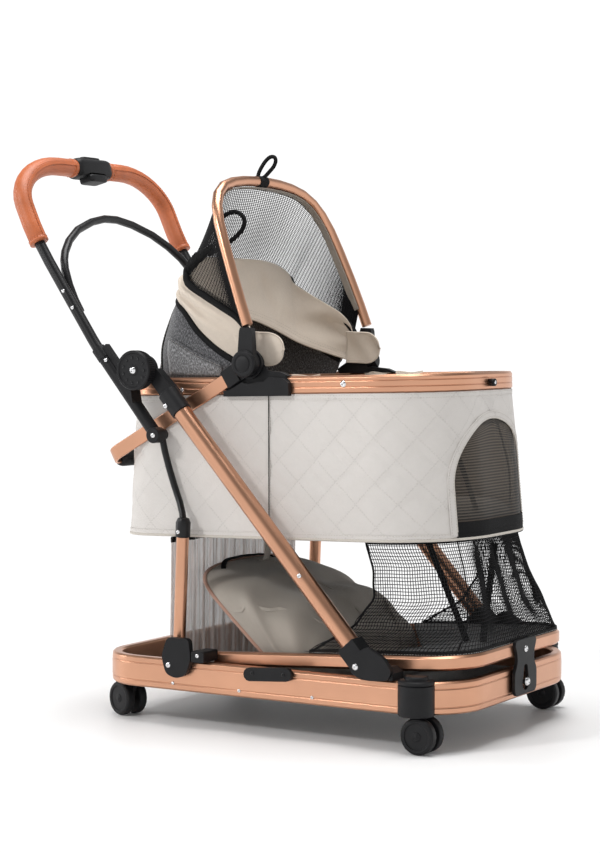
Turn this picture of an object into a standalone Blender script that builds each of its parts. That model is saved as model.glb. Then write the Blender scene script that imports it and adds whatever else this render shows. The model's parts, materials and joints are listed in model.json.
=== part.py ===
"""Pet stroller: wheeled base, folding side frames, push handle and lift-off carrier.

Frame: +X front, +Y left, +Z up, origin on the floor under the middle of the whole object. Metres.
Every side part is written once for the right side (negative Y) and mirrored to the left.
"""

import math

import bmesh
import bpy
from mathutils import Matrix, Vector

for old in list(bpy.data.objects):
    bpy.data.objects.remove(old, do_unlink=True)

# ---------------------------------------------------------------- driving dimensions
X_SHIFT = 0.0869          # moves the design frame so the whole object is centred on x = 0
GAP = 0.0003              # clearance between parts that touch
CARRIER_TILT = math.radians(1.4)

# base frame
BASE_W, BASE_XR, BASE_XF = 0.255, -0.350, 0.374
BASE_Z0, BASE_Z1, BASE_T = 0.0625, 0.1165, 0.018
BASE_RR, BASE_RF = 0.095, 0.110
UPPER_W, UPPER_XR, UPPER_XF, UPPER_RF = 0.2205, -0.1105, 0.376, 0.085
UPPER_H, UPPER_T, UPPER_Z, UPPER_SLOPE = 0.024, 0.018, 0.1185, 0.058

# side frame
F = (0.200, 0.137)        # front leg pivot
LEG_DIR = Vector((-0.6654, 0.7465)).normalized()
LEG_Y, LEG_R = 0.2375, 0.016
LEG_BOTTOM, LEG_TOP = (0.1830, 0.1575), (-0.1646, 0.5476)
H = (-0.2522, 0.6195)     # handle hub
P = (-0.2248, 0.5057)     # lower end of the handle link
R = (-0.1774, 0.1300)     # rear post pivot
LINK_Y, LINK_R, TUBE_R = 0.2295, 0.0115, 0.0100
LINK_DIR = Vector((-0.6378, 0.7702)).normalized()
LINK_LEN = 0.196
POST_Y, POST_R = 0.2295, 0.011

# handle
HANDLE_BEND = (-0.3560, 0.6640)
HANDLE_LEAN = math.radians(34.6)      # the straight upright's lean from vertical
HANDLE_STRAIGHT, HANDLE_CURVE = 0.180, 0.551
HANDLE_TOP = 0.383         # length of the upright from the bend to the cross bar's centre
CORNER_LONG, CORNER_WIDE = 0.083, 0.1295
GRIP_R = 0.0170

# carrier
RING_W, RING_XR, RING_XF, RING_RR, RING_RF = 0.1955, -0.325, 0.312, 0.070, 0.135
RING_Z0, RING_Z1, RING_T = 0.5795, 0.6105, 0.012
TUB_Z0 = 0.3310
PIVOT = (-0.0480, 0.6330)  # canopy and carry handle pivot


# ---------------------------------------------------------------- helpers
def add(name, bm):
    bmesh.ops.remove_doubles(bm, verts=bm.verts, dist=1e-6)
    bmesh.ops.recalc_face_normals(bm, faces=bm.faces)
    mesh = bpy.data.meshes.new(name)
    bm.to_mesh(mesh)
    bm.free()
    obj = bpy.data.objects.new(name, mesh)
    bpy.context.scene.collection.objects.link(obj)
    return obj


def rings(name, loops, closed=False, caps=True):
    """A body from a row of equal-length closed loops of points."""
    bm = bmesh.new()
    rows = [[bm.verts.new(p) for p in loop] for loop in loops]
    count = len(rows)
    for i in range(count if closed else count - 1):
        a, b = rows[i], rows[(i + 1) % count]
        n = len(a)
        for j in range(n):
            bm.faces.new((a[j], a[(j + 1) % n], b[(j + 1) % n], b[j]))
    if not closed and caps:
        bm.faces.new(rows[0])
        bm.faces.new(rows[-1][::-1])
    return add(name, bm)


def circle(radius, n=12, squash=1.0):
    return [(radius * math.cos(2 * math.pi * i / n), squash * radius * math.sin(2 * math.pi * i / n))
            for i in range(n)]


def sweep(name, path, profile, closed=False, up=None, scale=None):
    """Sweeps a profile of (side, up) points along a path; `up` fixes the profile's second axis."""
    pts = [Vector(p) for p in path]
    n = len(pts)
    loops, normal = [], None
    for i, p in enumerate(pts):
        a = pts[(i - 1) % n] if closed or i else pts[0]
        b = pts[(i + 1) % n] if closed or i < n - 1 else pts[-1]
        t = (b - a).normalized()
        if up is not None:
            normal = (Vector(up) - t * t.dot(Vector(up))).normalized()
        elif normal is None:
            ref = Vector((0, 1, 0)) if abs(t.y) < 0.9 else Vector((1, 0, 0))
            normal = (ref - t * t.dot(ref)).normalized()
        else:
            normal = (normal - t * t.dot(normal)).normalized()
        side = t.cross(normal)
        # widen the profile at corners so the swept wall keeps its thickness
        k = 1.0
        if (closed or 0 < i < n - 1) and n > 2:
            u, v = (p - a).normalized(), (b - p).normalized()
            k = 1.0 / max(0.6, math.sqrt(max(0.0, (1 + u.dot(v)) / 2)))
        s = scale[i] if scale else 1.0
        flat = normal if up is None else side
        loops.append([p + side * x * s * (k if flat is side else 1) + normal * y * s for x, y in profile])
    return rings(name, loops, closed)


def prism(name, poly, y0, y1):
    """An (x, z) outline pushed from y0 to y1."""
    return rings(name, [[(x, y0, z) for x, z in poly], [(x, y1, z) for x, z in poly]])


def plate(name, poly, z0, z1):
    return rings(name, [[(x, y, z0) for x, y in poly], [(x, y, z1) for x, y in poly]])


def lathe(name, profile, centre, axis, n=24):
    """Turns (radius, distance) points about an axis through the centre."""
    axis = Vector(axis).normalized()
    ref = Vector((0, 0, 1)) if abs(axis.z) < 0.9 else Vector((1, 0, 0))
    u = (ref - axis * axis.dot(ref)).normalized()
    v = axis.cross(u)
    c = Vector(centre)
    bm = bmesh.new()
    rows = []
    for r, d in profile:
        if r < 1e-6:
            rows.append([bm.verts.new(c + axis * d)])
        else:
            rows.append([bm.verts.new(c + axis * d + (u * math.cos(a) + v * math.sin(a)) * r)
                         for a in (2 * math.pi * i / n for i in range(n))])
    for a, b in zip(rows, rows[1:]):
        for j in range(n):
            k = (j + 1) % n
            if len(a) == 1 and len(b) == 1:
                continue
            if len(a) == 1:
                bm.faces.new((a[0], b[k], b[j]))
            elif len(b) == 1:
                bm.faces.new((a[j], a[k], b[0]))
            else:
                bm.faces.new((a[j], a[k], b[k], b[j]))
    for row in (rows[0], rows[-1]):
        if len(row) > 1:
            bm.faces.new(row)
    return add(name, bm)


def boolean(obj, other, operation="UNION"):
    """Joins or cuts with an exact Boolean, and drops the tool."""
    mod = obj.modifiers.new("b", "BOOLEAN")
    mod.operation, mod.solver, mod.object = operation, "EXACT", other
    graph = bpy.context.evaluated_depsgraph_get()
    mesh = bpy.data.meshes.new_from_object(obj.evaluated_get(graph))
    obj.modifiers.clear()
    obj.data = mesh
    bpy.data.objects.remove(other, do_unlink=True)
    bm = bmesh.new()
    bm.from_mesh(mesh)
    bmesh.ops.remove_doubles(bm, verts=bm.verts, dist=2e-6)
    bmesh.ops.dissolve_degenerate(bm, edges=bm.edges, dist=2e-6)
    bm.to_mesh(mesh)
    bm.free()
    return obj


def union(name, *objs):
    first = objs[0]
    for other in objs[1:]:
        boolean(first, other)
    first.name = first.data.name = name
    return first


def cut(obj, *tools):
    for tool in tools:
        boolean(obj, tool, "DIFFERENCE")
    return obj


def mirrored(obj, name_right, name_left):
    """Names a right-side part and makes its left-side twin."""
    obj.name = obj.data.name = name_right
    bm = bmesh.new()
    bm.from_mesh(obj.data)
    for v in bm.verts:
        v.co.y = -v.co.y
    bmesh.ops.reverse_faces(bm, faces=bm.faces)
    mesh = bpy.data.meshes.new(name_left)
    bm.to_mesh(mesh)
    bm.free()
    twin = bpy.data.objects.new(name_left, mesh)
    bpy.context.scene.collection.objects.link(twin)
    return obj, twin


def plan(xr, xf, w, rr, rf, n=9, inset=0.0, power=2.0):
    """A closed plan outline with straight sides, rear corners rr and front corners rf."""
    xr, xf, w = xr + inset, xf - inset, w - inset
    rr, rf = rr - inset, rf - inset
    pts = []
    corners = ((xf - rf, -w + rf, rf, -90), (xf - rf, w - rf, rf, 0), (xr + rr, w - rr, rr, 90),
               (xr + rr, -w + rr, rr, 180))
    for cx, cy, r, start in corners:
        for i in range(n):
            a = math.radians(start + 90 * i / (n - 1))
            c, s = math.cos(a), math.sin(a)
            e = 2.0 / power
            pts.append((cx + r * math.copysign(abs(c) ** e, c), cy + r * math.copysign(abs(s) ** e, s)))
    return pts


def arc(cx, cy, r, a0, a1, n):
    return [(cx + r * math.cos(math.radians(a0 + (a1 - a0) * i / (n - 1))),
             cy + r * math.sin(math.radians(a0 + (a1 - a0) * i / (n - 1)))) for i in range(n)]


def soft(poly, radius, n=4):
    """The outline with each corner rounded by a short curve."""
    pts = []
    for i, here in enumerate(poly):
        here, before, after = Vector(here), Vector(poly[i - 1]), Vector(poly[(i + 1) % len(poly)])
        start = here + (before - here).normalized() * min(radius, (before - here).length * 0.45)
        end = here + (after - here).normalized() * min(radius, (after - here).length * 0.45)
        for j in range(n + 1):
            t = j / n
            p = start * (1 - t) ** 2 + here * 2 * t * (1 - t) + end * t * t
            pts.append((p.x, p.y))
    return pts


def on(point, direction, distance, side=0.0):
    """A point along an (x, z) direction, and to its right by `side`."""
    return (point[0] + direction[0] * distance + direction[1] * side,
            point[1] + direction[1] * distance - direction[0] * side)


# ---------------------------------------------------------------- base frame
def band_profile(height, thick, groove=0.0012):
    """An extruded band: a wide flat middle between two grooves, softened edges."""
    h, t = height / 2, thick / 2
    outer = [(t - 0.004, -h), (t - 0.001, -h + 0.003), (t, -h + 0.010), (t - groove, -h + 0.0115),
             (t, -h + 0.013), (t, h - 0.013), (t - groove, h - 0.0115), (t, h - 0.010),
             (t - 0.001, h - 0.003), (t - 0.004, h)]
    inner = [(-t + 0.003, h), (-t, h - 0.003), (-t, -h + 0.003), (-t + 0.003, -h)]
    return outer + inner


base_mid = plan(BASE_XR, BASE_XF, BASE_W, BASE_RR, BASE_RF, n=10, inset=BASE_T / 2)
ZB = (BASE_Z0 + BASE_Z1) / 2
sweep("base_ring", [(x, y, ZB) for x, y in base_mid],
      band_profile(BASE_Z1 - BASE_Z0, BASE_T), closed=True, up=(0, 0, 1))


def upper_z(x):
    return UPPER_Z + (x - UPPER_XR) * UPPER_SLOPE


half = [p for p in plan(-0.5, UPPER_XF, UPPER_W, 0.1, UPPER_RF, n=11, inset=UPPER_T / 2)[:22]]
upper_path = ([(UPPER_XR, -UPPER_W + UPPER_T / 2)] + half + [(UPPER_XR, UPPER_W - UPPER_T / 2)])
hu, tu = UPPER_H / 2, UPPER_T / 2
upper_profile = [(tu - 0.004, -hu), (tu, -hu + 0.004), (tu, hu - 0.004), (tu - 0.004, hu),
                 (-tu + 0.003, hu), (-tu, hu - 0.003), (-tu, -hu + 0.003), (-tu + 0.003, -hu)]
sweep("upper_ring", [(x, y, upper_z(x)) for x, y in upper_path], upper_profile, up=(0, 0, 1))

floor_edge = plan(BASE_XR, BASE_XF, BASE_W, BASE_RR, BASE_RF, n=10, inset=BASE_T + 0.0008)
plate("floor_panel", floor_edge, 0.0660, 0.0720)

# rear brackets: an outer cheek screwed to the base ring, with an arm that carries the upper ring's end
cheek = prism("cheek", soft([(-0.1330, 0.1570), (-0.1780, 0.1570), (-0.1900, 0.1230), (-0.1810, 0.0930),
                             (-0.1600, 0.0860), (-0.1390, 0.0930), (-0.1290, 0.1210)], 0.009),
              -0.2665, -0.2555)
arm = prism("arm", [(-0.1500, 0.1300), (-0.1125, 0.1300), (-0.1115, 0.1280), (-0.1115, 0.1185),
                    (-0.1500, 0.1172)], -0.2600, -0.2035)
block = prism("block", soft([(-0.1280, 0.1360), (-0.1280, 0.1172), (-0.1020, 0.1172), (-0.1020, 0.1360)],
                            0.003),
              -0.2660, -0.2215)
mirrored(union("rear", cheek, arm, block), "rear_bracket_right", "rear_bracket_left")

# front brackets: an outer cheek and a toe block that rests on the base ring beside the leg's foot
cheek = prism("cheek", soft([(0.2180, 0.1710), (0.1860, 0.1500), (0.1860, 0.1330), (0.1940, 0.1210),
                             (0.2200, 0.1146), (0.2580, 0.1177), (0.2655, 0.1330), (0.2500, 0.1550)], 0.009),
              -0.2665, -0.2572)
toe = prism("toe", [(0.2300, 0.1372), (0.2520, 0.1372), (0.2640, 0.1290), (0.2640, 0.1172), (0.2300, 0.1172)],
            -0.2600, -0.2215)
mirrored(union("front", cheek, toe), "front_bracket_right", "front_bracket_left")

# side catches on the base ring
oval = arc(0.0615, 0.1105, 0.0115, -90, 90, 7) + arc(-0.0110, 0.1055, 0.0115, 90, 270, 7)
mirrored(prism("catch", oval, -0.2640, -0.2555), "side_catch_right", "side_catch_left")

# front latch: a waisted strap hinged on the upper ring, hooked over a stud on the base ring
STRAP_X = UPPER_XF + 0.0005
half_strap = [(0.0380, 0.0690), (0.0440, 0.0770), (0.0440, 0.1080), (0.0330, 0.1260), (0.0350, 0.1420),
              (0.0430, 0.1560), (0.0380, 0.1640)]
outline = soft([(-y, z) for y, z in half_strap] + [(y, z) for y, z in reversed(half_strap)], 0.006, 3)
strap = rings("strap", [[(x, y, z) for y, z in outline] for x in (STRAP_X, STRAP_X + 0.0060)])
slot = rings("slot", [[(x, y, z) for y, z in
                       arc(0, 0.0880, 0.0125, 180, 360, 9) + arc(0, 0.1130, 0.0070, 0, 180, 7)]
                      for x in (STRAP_X - 0.01, STRAP_X + 0.02)])
cut(strap, slot).name = "latch_strap"
strap.data.name = "latch_strap"
lathe("latch_stud", [(0, 0.0002), (0.0075, 0.0002), (0.0075, 0.0105), (0.0055, 0.0125), (0, 0.0125)],
      (BASE_XF, 0, 0.0900), (1, 0, 0), 16)

# ---------------------------------------------------------------- casters
WHEEL_R, WHEEL_W, WHEEL_GAP = 0.0305, 0.016, 0.010


def caster(tag, x, y, yaw, top):
    """Twin-wheel caster: hood and stem in one body, two discs on one axle core."""
    trail = 0.010
    ax = Vector((math.cos(yaw), math.sin(yaw), 0))
    side = Vector((-math.sin(yaw), math.cos(yaw), 0))
    centre = Vector((x, y, WHEEL_R)) + ax * trail
    core = WHEEL_GAP / 2 - 0.0010
    w0, w1 = WHEEL_GAP / 2 + 0.0010, WHEEL_GAP / 2 + 0.0010 + WHEEL_W
    half = [(0.0060, w0 - 0.0001), (WHEEL_R - 0.0012, w0), (WHEEL_R, w0 + 0.0025), (WHEEL_R, w1 - 0.0035),
            (WHEEL_R - 0.0020, w1 - 0.0008), (0.0225, w1), (0.0215, w1 - 0.0020), (0.0080, w1 - 0.0014),
            (0.0070, w1), (0.0, w1)]
    profile = [(r, -d) for r, d in reversed(half)] + half
    lathe("caster_wheels_" + tag, profile, centre, side, 24)
    # fork: a thin blade between the wheels with an open axle notch, rising to the swivel stem
    out = [(-0.0085, -0.0100), (-0.0150, -0.0040), (-0.0185, 0.0080), (-0.0210, 0.0200), (-0.0210, 0.0286),
           (-0.0190, 0.0306), (-0.0010, 0.0306), (0.0060, 0.0260), (0.0120, 0.0160), (0.0150, 0.0060),
           (0.0150, -0.0040), (0.0085, -0.0100)]
    notch = [(0.0066 * math.cos(math.radians(a)), 0.0066 * math.sin(math.radians(a)))
             for a in range(-30, 211, 20)]
    shape = out + [(0.0057, -0.0100)] + notch + [(-0.0057, -0.0100)]
    blades = [[centre + ax * px + Vector((0, 0, pz)) + side * d for px, pz in shape] for d in (-core, core)]
    fork = rings("fork", blades)
    post = lathe("stem", [(0, 0), (0.0036, 0), (0.0036, top - 0.0560), (0, top - 0.0560)],
                 (x, y, 0.0560), (0, 0, 1), 16)
    return union("caster_fork_" + tag, fork, post)


FRONT_CASTER, REAR_CASTER = (0.3000, 0.2430), (-0.3000, 0.2020)
TOP = BASE_Z0 - 0.0012
for tag, x, y, yaw in (("front_right", FRONT_CASTER[0], -FRONT_CASTER[1], 0.0),
                       ("front_left", FRONT_CASTER[0], FRONT_CASTER[1], 0.0),
                       ("rear_right", REAR_CASTER[0], -REAR_CASTER[1], math.radians(161)),
                       ("rear_left", REAR_CASTER[0], REAR_CASTER[1], math.radians(199))):
    caster(tag, x, y, yaw, TOP)

# front caster housings: a sleeve around the outside of the base ring
sleeve = lathe("sleeve", [(0, 0), (0.0290, 0), (0.0305, 0.0020), (0.0305, 0.0500), (0.0290, 0.0515),
                          (0.0305, 0.0530), (0.0305, 0.0570), (0.0285, 0.0590), (0.0200, 0.0595),
                          (0.0195, 0.0640), (0.0180, 0.0655), (0, 0.0655)],
               (FRONT_CASTER[0], -FRONT_CASTER[1] - 0.0020, BASE_Z0 - 0.0009), (0, 0, 1), 28)
wide = sweep("wide", [(x, y, ZB) for x, y in base_mid],
             [(s * (BASE_T / 2 + GAP), v * ((BASE_Z1 - BASE_Z0) / 2 + GAP))
              for s, v in ((1, -1), (1, 1), (-1, 1), (-1, -1))], closed=True, up=(0, 0, 1))
inside = plate("inside", base_mid, 0.0, 0.2)
cut(sleeve, wide, inside)
mirrored(sleeve, "caster_housing_right", "caster_housing_left")

# ---------------------------------------------------------------- side frame: front legs
foot = [on(F, LEG_DIR, d, s) for d, s in ((0.0420, -0.0180), (0.0420, 0.0180), (0.0030, 0.0180))]
foot += [on(F, LEG_DIR, 0.0165 * math.sin(math.radians(a)), 0.0165 * math.cos(math.radians(a)))
         for a in range(-10, -171, -20)]
foot += [on(F, LEG_DIR, 0.0030, -0.0180)]
# the leg's own axis runs through LEG_BOTTOM, a little beside the pivot
mirrored(prism("foot", foot, -0.2570, -0.2222), "leg_foot_right", "leg_foot_left")

leg_dir = (Vector(LEG_TOP) - Vector(LEG_BOTTOM)).normalized()
start = Vector(F) + leg_dir * 0.0425
start = Vector(LEG_BOTTOM) + leg_dir * max(0.0, (start - Vector(LEG_BOTTOM)).dot(leg_dir))
leg_len = (Vector(LEG_TOP) - start).length
leg = lathe("leg", [(0, 0), (LEG_R, 0), (LEG_R, leg_len), (0, leg_len)],
            (start.x, -LEG_Y, start.y), (leg_dir.x, 0, leg_dir.y), 20)
mirrored(leg, "front_leg_right", "front_leg_left")

# hub sockets: the leg's upper end, necking to an inner drum on the hub's axis
socket = lathe("socket", [(0, 0.0003), (0.0185, 0.0003), (0.0185, 0.0440), (0.0165, 0.0460), (0, 0.0460)],
               (LEG_TOP[0], -LEG_Y, LEG_TOP[1]), (leg_dir.x, 0, leg_dir.y), 20)
tip = Vector(LEG_TOP) + leg_dir * 0.030
neck = prism("neck", [on(tip, leg_dir, 0, -0.0150), on(tip, leg_dir, 0.062, -0.0150),
                      on(tip, leg_dir, 0.062, 0.0100), on(tip, leg_dir, 0, 0.0150)], -0.2398, -0.2205)
drum = lathe("drum", [(0, 0), (0.0250, 0), (0.0265, 0.0015), (0.0265, 0.0190), (0, 0.0190)],
             (H[0], -0.2400, H[1]), (0, 1, 0), 28)
keep_out = lathe("keep", [(0, 0), (0.0362, 0), (0.0362, 0.0300), (0, 0.0300)],
                 (H[0], -0.2700, H[1]), (0, 1, 0), 28)
socket = cut(socket, keep_out)
mirrored(union("hub", socket, neck, drum), "hub_socket_right", "hub_socket_left")

# ---------------------------------------------------------------- side frame: handle link
top = Vector(P) + LINK_DIR * LINK_LEN
sleeve = lathe("sleeve", [(0, -0.0005), (LINK_R, -0.0005), (LINK_R, LINK_LEN - 0.0240),
                          (LINK_R + 0.0010, LINK_LEN - 0.0230), (LINK_R + 0.0010, LINK_LEN),
                          (TUBE_R + 0.0004, LINK_LEN), (TUBE_R + 0.0004, 0.0450), (0, 0.0450)],
               (P[0], -LINK_Y, P[1]), (LINK_DIR.x, 0, LINK_DIR.y), 20)
boss = lathe("boss", [(0, 0), (0.0125, 0), (0.0140, 0.0015), (0.0140, 0.0222), (0, 0.0222)],
             (P[0], -0.2419, P[1]), (0, 1, 0), 20)
foot_h = Vector(P) + LINK_DIR * ((Vector(H) - Vector(P)).dot(LINK_DIR))
away = (Vector(H) - foot_h).normalized()
web = [foot_h + LINK_DIR * 0.024 + away * 0.0109, foot_h + LINK_DIR * 0.017 + away * 0.0238,
       foot_h - LINK_DIR * 0.017 + away * 0.0238, foot_h - LINK_DIR * 0.040 + away * 0.0109]
web = prism("web", [(p.x, p.y) for p in web], -0.2545, -0.2253)
disc = lathe("disc", [(0, 0.0010), (0.0090, 0.0010), (0.0100, 0.0022), (0.0290, 0.0022), (0.0305, 0.0004),
                      (0.0335, 0.0004), (0.0350, 0.0022), (0.0350, 0.0060), (0.0340, 0.0066),
                      (0.0340, 0.0218), (0, 0.0218)],
             (H[0], -0.2625, H[1]), (0, 1, 0), 36)
slider = prism("slider", [tuple(top - LINK_DIR * d + away * s) for d, s in
                          ((0.0063, 0.0112), (0.0063, 0.0212), (0.0503, 0.0212), (0.0583, 0.0112))],
               -0.2352, -0.2238)
mirrored(union("link", sleeve, web, disc, boss, slider), "handle_link_right", "handle_link_left")

# ---------------------------------------------------------------- side frame: rear legs
post_top = (-0.1695, 0.3185)
post_dir = (Vector(post_top) - Vector(R)).normalized()
post_len = (Vector(post_top) - Vector(R)).length + 0.010
post = lathe("post", [(0, 0), (0.0095, 0), (POST_R, 0.0015), (POST_R, post_len), (0, post_len)],
             (R[0], -POST_Y, R[1]), (post_dir.x, 0, post_dir.y), 18)
mirrored(post, "rear_post_right", "rear_post_left")
base_pt = Vector(R) + post_dir * (post_len + GAP)
collar = lathe("collar", [(0, 0), (0.0125, 0), (0.0132, 0.0010), (0.0132, 0.0260), (0.0100, 0.0330),
                          (0.0080, 0.0340), (0, 0.0340)],
               (base_pt.x, -POST_Y, base_pt.y), (post_dir.x, 0, post_dir.y), 18)
knee = base_pt + post_dir * 0.024
tube = sweep("tube", [(knee.x, -0.2290, knee.y), (-0.1735, -0.2240, 0.3700), (-0.1850, -0.2150, 0.3880),
                      (-0.1990, -0.2120, 0.4180), (-0.2110, -0.2112, 0.4500), (-0.2190, -0.2112, 0.4760),
                      (-0.2240, -0.2112, 0.4980)], circle(0.0060, 14))
lug = lathe("lug", [(0, 0), (0.0100, 0), (0.0100, 0.0080), (0, 0.0080)],
            (P[0], -0.2145, P[1]), (0, 1, 0), 18)
mirrored(union("rear_link", collar, tube, lug), "rear_link_right", "rear_link_left")

# ---------------------------------------------------------------- handle
def handle_lean(length):
    """The handle's lean from vertical: straight at first, then bent gently upright."""
    return HANDLE_LEAN - max(0.0, length - HANDLE_STRAIGHT) / HANDLE_CURVE


def handle_point(length, y, front=0.0):
    """A point `length` up the handle from the bend, and `front` ahead of its middle."""
    if length < 0:
        return Vector((HANDLE_BEND[0] + LINK_DIR.x * length, y, HANDLE_BEND[1] + LINK_DIR.y * length))
    straight, lean = min(length, HANDLE_STRAIGHT), handle_lean(length)
    x = HANDLE_BEND[0] - straight * math.sin(HANDLE_LEAN)
    z = HANDLE_BEND[1] + straight * math.cos(HANDLE_LEAN)
    x -= HANDLE_CURVE * (math.cos(lean) - math.cos(HANDLE_LEAN))
    z += HANDLE_CURVE * (math.sin(HANDLE_LEAN) - math.sin(lean))
    return Vector((x + front * math.cos(lean), y, z + front * math.sin(lean)))


CORNER_START = HANDLE_TOP - CORNER_LONG
corner = [(CORNER_START + CORNER_LONG * math.sin(math.radians(a)),
           -LINK_Y + CORNER_WIDE * (1 - math.cos(math.radians(a)))) for a in range(0, 91, 9)]
GRIP_START = (0.2220, 0.2260, 0.2600)
bar = [(l, -LINK_Y) for l in (-0.130, -0.006, 0.010, 0.180) + GRIP_START] + corner
bar_full = bar + [(l, -y) for l, y in reversed(bar)]
sweep("handle_frame", [handle_point(l, y) for l, y in bar_full], circle(TUBE_R, 14))


def shell(name, path, outer, inner, n=18):
    """A sleeve wrapped round a bent path: outer and inner skins joined at the ends."""
    pts = [Vector(p) for p in path]
    rows_out, rows_in, normal = [], [], None
    for i, p in enumerate(pts):
        t = (pts[min(i + 1, len(pts) - 1)] - pts[max(i - 1, 0)]).normalized()
        normal = (Vector((0, 1, 0)) if normal is None else normal)
        normal = (normal - t * t.dot(normal)).normalized() if abs(t.y) < 0.95 or normal.y < 0.5 else normal
        side = t.cross(normal).normalized()
        end = 0.85 if i in (0, len(pts) - 1) else 1.0
        r = outer * end if outer * end > inner + 0.002 else inner + 0.002
        rows_out.append([p + (side * math.cos(a) + normal * math.sin(a)) * r
                         for a in (2 * math.pi * k / n for k in range(n))])
        rows_in.append([p + (side * math.cos(a) + normal * math.sin(a)) * inner
                        for a in (2 * math.pi * k / n for k in range(n))])
    return rings(name, rows_out + rows_in[::-1], closed=True)


grip_path = [handle_point(l, -LINK_Y) for l in GRIP_START]
grip_path += [handle_point(l, y) for l, y in corner]
grip_path += [handle_point(HANDLE_TOP, y) for y in (-0.0780, -0.0560, -0.0520)]
mirrored(shell("grip", grip_path, GRIP_R, TUBE_R + GAP), "grip_right", "grip_left")

mid = handle_point(HANDLE_TOP, 0)
TOP_LEAN = handle_lean(HANDLE_TOP)
n_up = Vector((-math.sin(TOP_LEAN), 0, math.cos(TOP_LEAN)))
n_front = Vector((math.cos(TOP_LEAN), 0, math.sin(TOP_LEAN)))


def block(name, half_y, length0, length1, depth0, depth1, n=6, bevel=0.006, origin=None):
    """A rounded block on the handle's cross bar, in its (up, front) axes."""
    o = origin or mid
    pts = []
    for cx, cy, a0 in ((length1 - bevel, depth1 - bevel, 0), (length0 + bevel, depth1 - bevel, 90),
                       (length0 + bevel, depth0 + bevel, 180), (length1 - bevel, depth0 + bevel, 270)):
        for i in range(n):
            a = math.radians(a0 + 90 * i / (n - 1))
            pts.append((cx + bevel * math.cos(a), cy + bevel * math.sin(a)))
    cx, cy = (length0 + length1) / 2, (depth0 + depth1) / 2
    rows = []
    for y, s in ((-half_y, 0.80), (-half_y + 0.004, 0.95), (-half_y + 0.010, 1.0),
                 (half_y - 0.010, 1.0), (half_y - 0.004, 0.95), (half_y, 0.80)):
        rows.append([o + n_up * (cx + (a - cx) * s) + n_front * (cy + (b - cy) * s) + Vector((0, y, 0))
                     for a, b in pts])
    return rings(name, rows)


control = block("control", 0.0510, -0.0190, 0.0190, -0.0185, 0.0200, bevel=0.0120)
hole = sweep("hole", [mid + Vector((0, y, 0)) for y in (-0.07, 0.07)], circle(TUBE_R + GAP, 14))
well = block("well", 0.0310, 0.0112, 0.0300, -0.0138, 0.0138, bevel=0.0030)
pocket = block("pocket", 0.0265, -0.0260, -0.0114, -0.0110, 0.0230, bevel=0.0050)
control = cut(control, hole, well, pocket)
control.name = control.data.name = "handle_control"
block("fold_button", 0.0280, 0.0142, 0.0225, -0.0125, 0.0125, bevel=0.0036).data.name = "fold_button"
block("fold_trigger", 0.0260, -0.0290, -0.0142, -0.0105, 0.0225, bevel=0.0045).data.name = "fold_trigger"

# hoop: a thin second tube, its ends screwed beside the uprights
hoop_half = [(0.074, -0.2112, -0.0050), (0.100, -0.2110, -0.0035), (0.130, -0.2100, 0.0010),
             (0.160, -0.2060, 0.0070),
             (0.178, -0.1990, 0.0105), (0.195, -0.1870, 0.0130), (0.220, -0.1600, 0.0150),
             (0.245, -0.1200, 0.0160), (0.265, -0.0650, 0.0165), (0.274, -0.0200, 0.0165)]
hoop = [handle_point(l, y, d) for l, y, d in hoop_half]
hoop += [Vector((p.x, -p.y, p.z)) for p in reversed(hoop)]
sweep("handle_hoop", hoop, circle(0.0075, 12))

# ---------------------------------------------------------------- carrier
carrier = []


def track(*objs):
    for obj in objs:
        carrier.append(obj)
    return objs[0] if len(objs) == 1 else objs


hr, tr = (RING_Z1 - RING_Z0) / 2, RING_T / 2
ring_profile = [(tr - 0.003, -hr), (tr, -hr + 0.003), (tr, -0.0052), (tr - 0.0012, -0.0042), (tr, -0.0032),
                (tr, 0.0052), (tr - 0.0012, 0.0062), (tr, 0.0072), (tr, hr - 0.004), (tr - 0.003, hr),
                (-tr + 0.003, hr), (-tr, hr - 0.003), (-tr, -hr + 0.003), (-tr + 0.003, -hr)]
ring_mid = plan(RING_XR, RING_XF, RING_W, RING_RR, RING_RF, n=10, inset=RING_T / 2)
ZR = (RING_Z0 + RING_Z1) / 2
track(sweep("carrier_ring", [(x, y, ZR) for x, y in ring_mid], ring_profile, closed=True, up=(0, 0, 1)))

# tub: soft sides hung from the ring, a firm floor
def tub_loop(z, inset=0.0):
    k = (RING_Z0 - z) / (RING_Z0 - TUB_Z0)
    return [(x, y, z) for x, y in plan(RING_XR + 0.002 - 0.017 * k, RING_XF - 0.002 + 0.020 * k,
                                       RING_W - 0.002 + 0.0085 * k, RING_RR, RING_RF + 0.020 * k,
                                       n=10, inset=inset)]


levels = [TUB_Z0, TUB_Z0 + 0.004, TUB_Z0 + 0.0600, TUB_Z0 + 0.1200, TUB_Z0 + 0.1850, RING_Z0 - GAP]
outer = [tub_loop(z) for z in levels]
outer[0] = tub_loop(TUB_Z0, 0.003)
inner = [tub_loop(z, 0.0035) for z in reversed(levels[2:])] + [tub_loop(TUB_Z0 + 0.0120, 0.0035)]
track(rings("carrier_tub", outer + inner))

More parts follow.
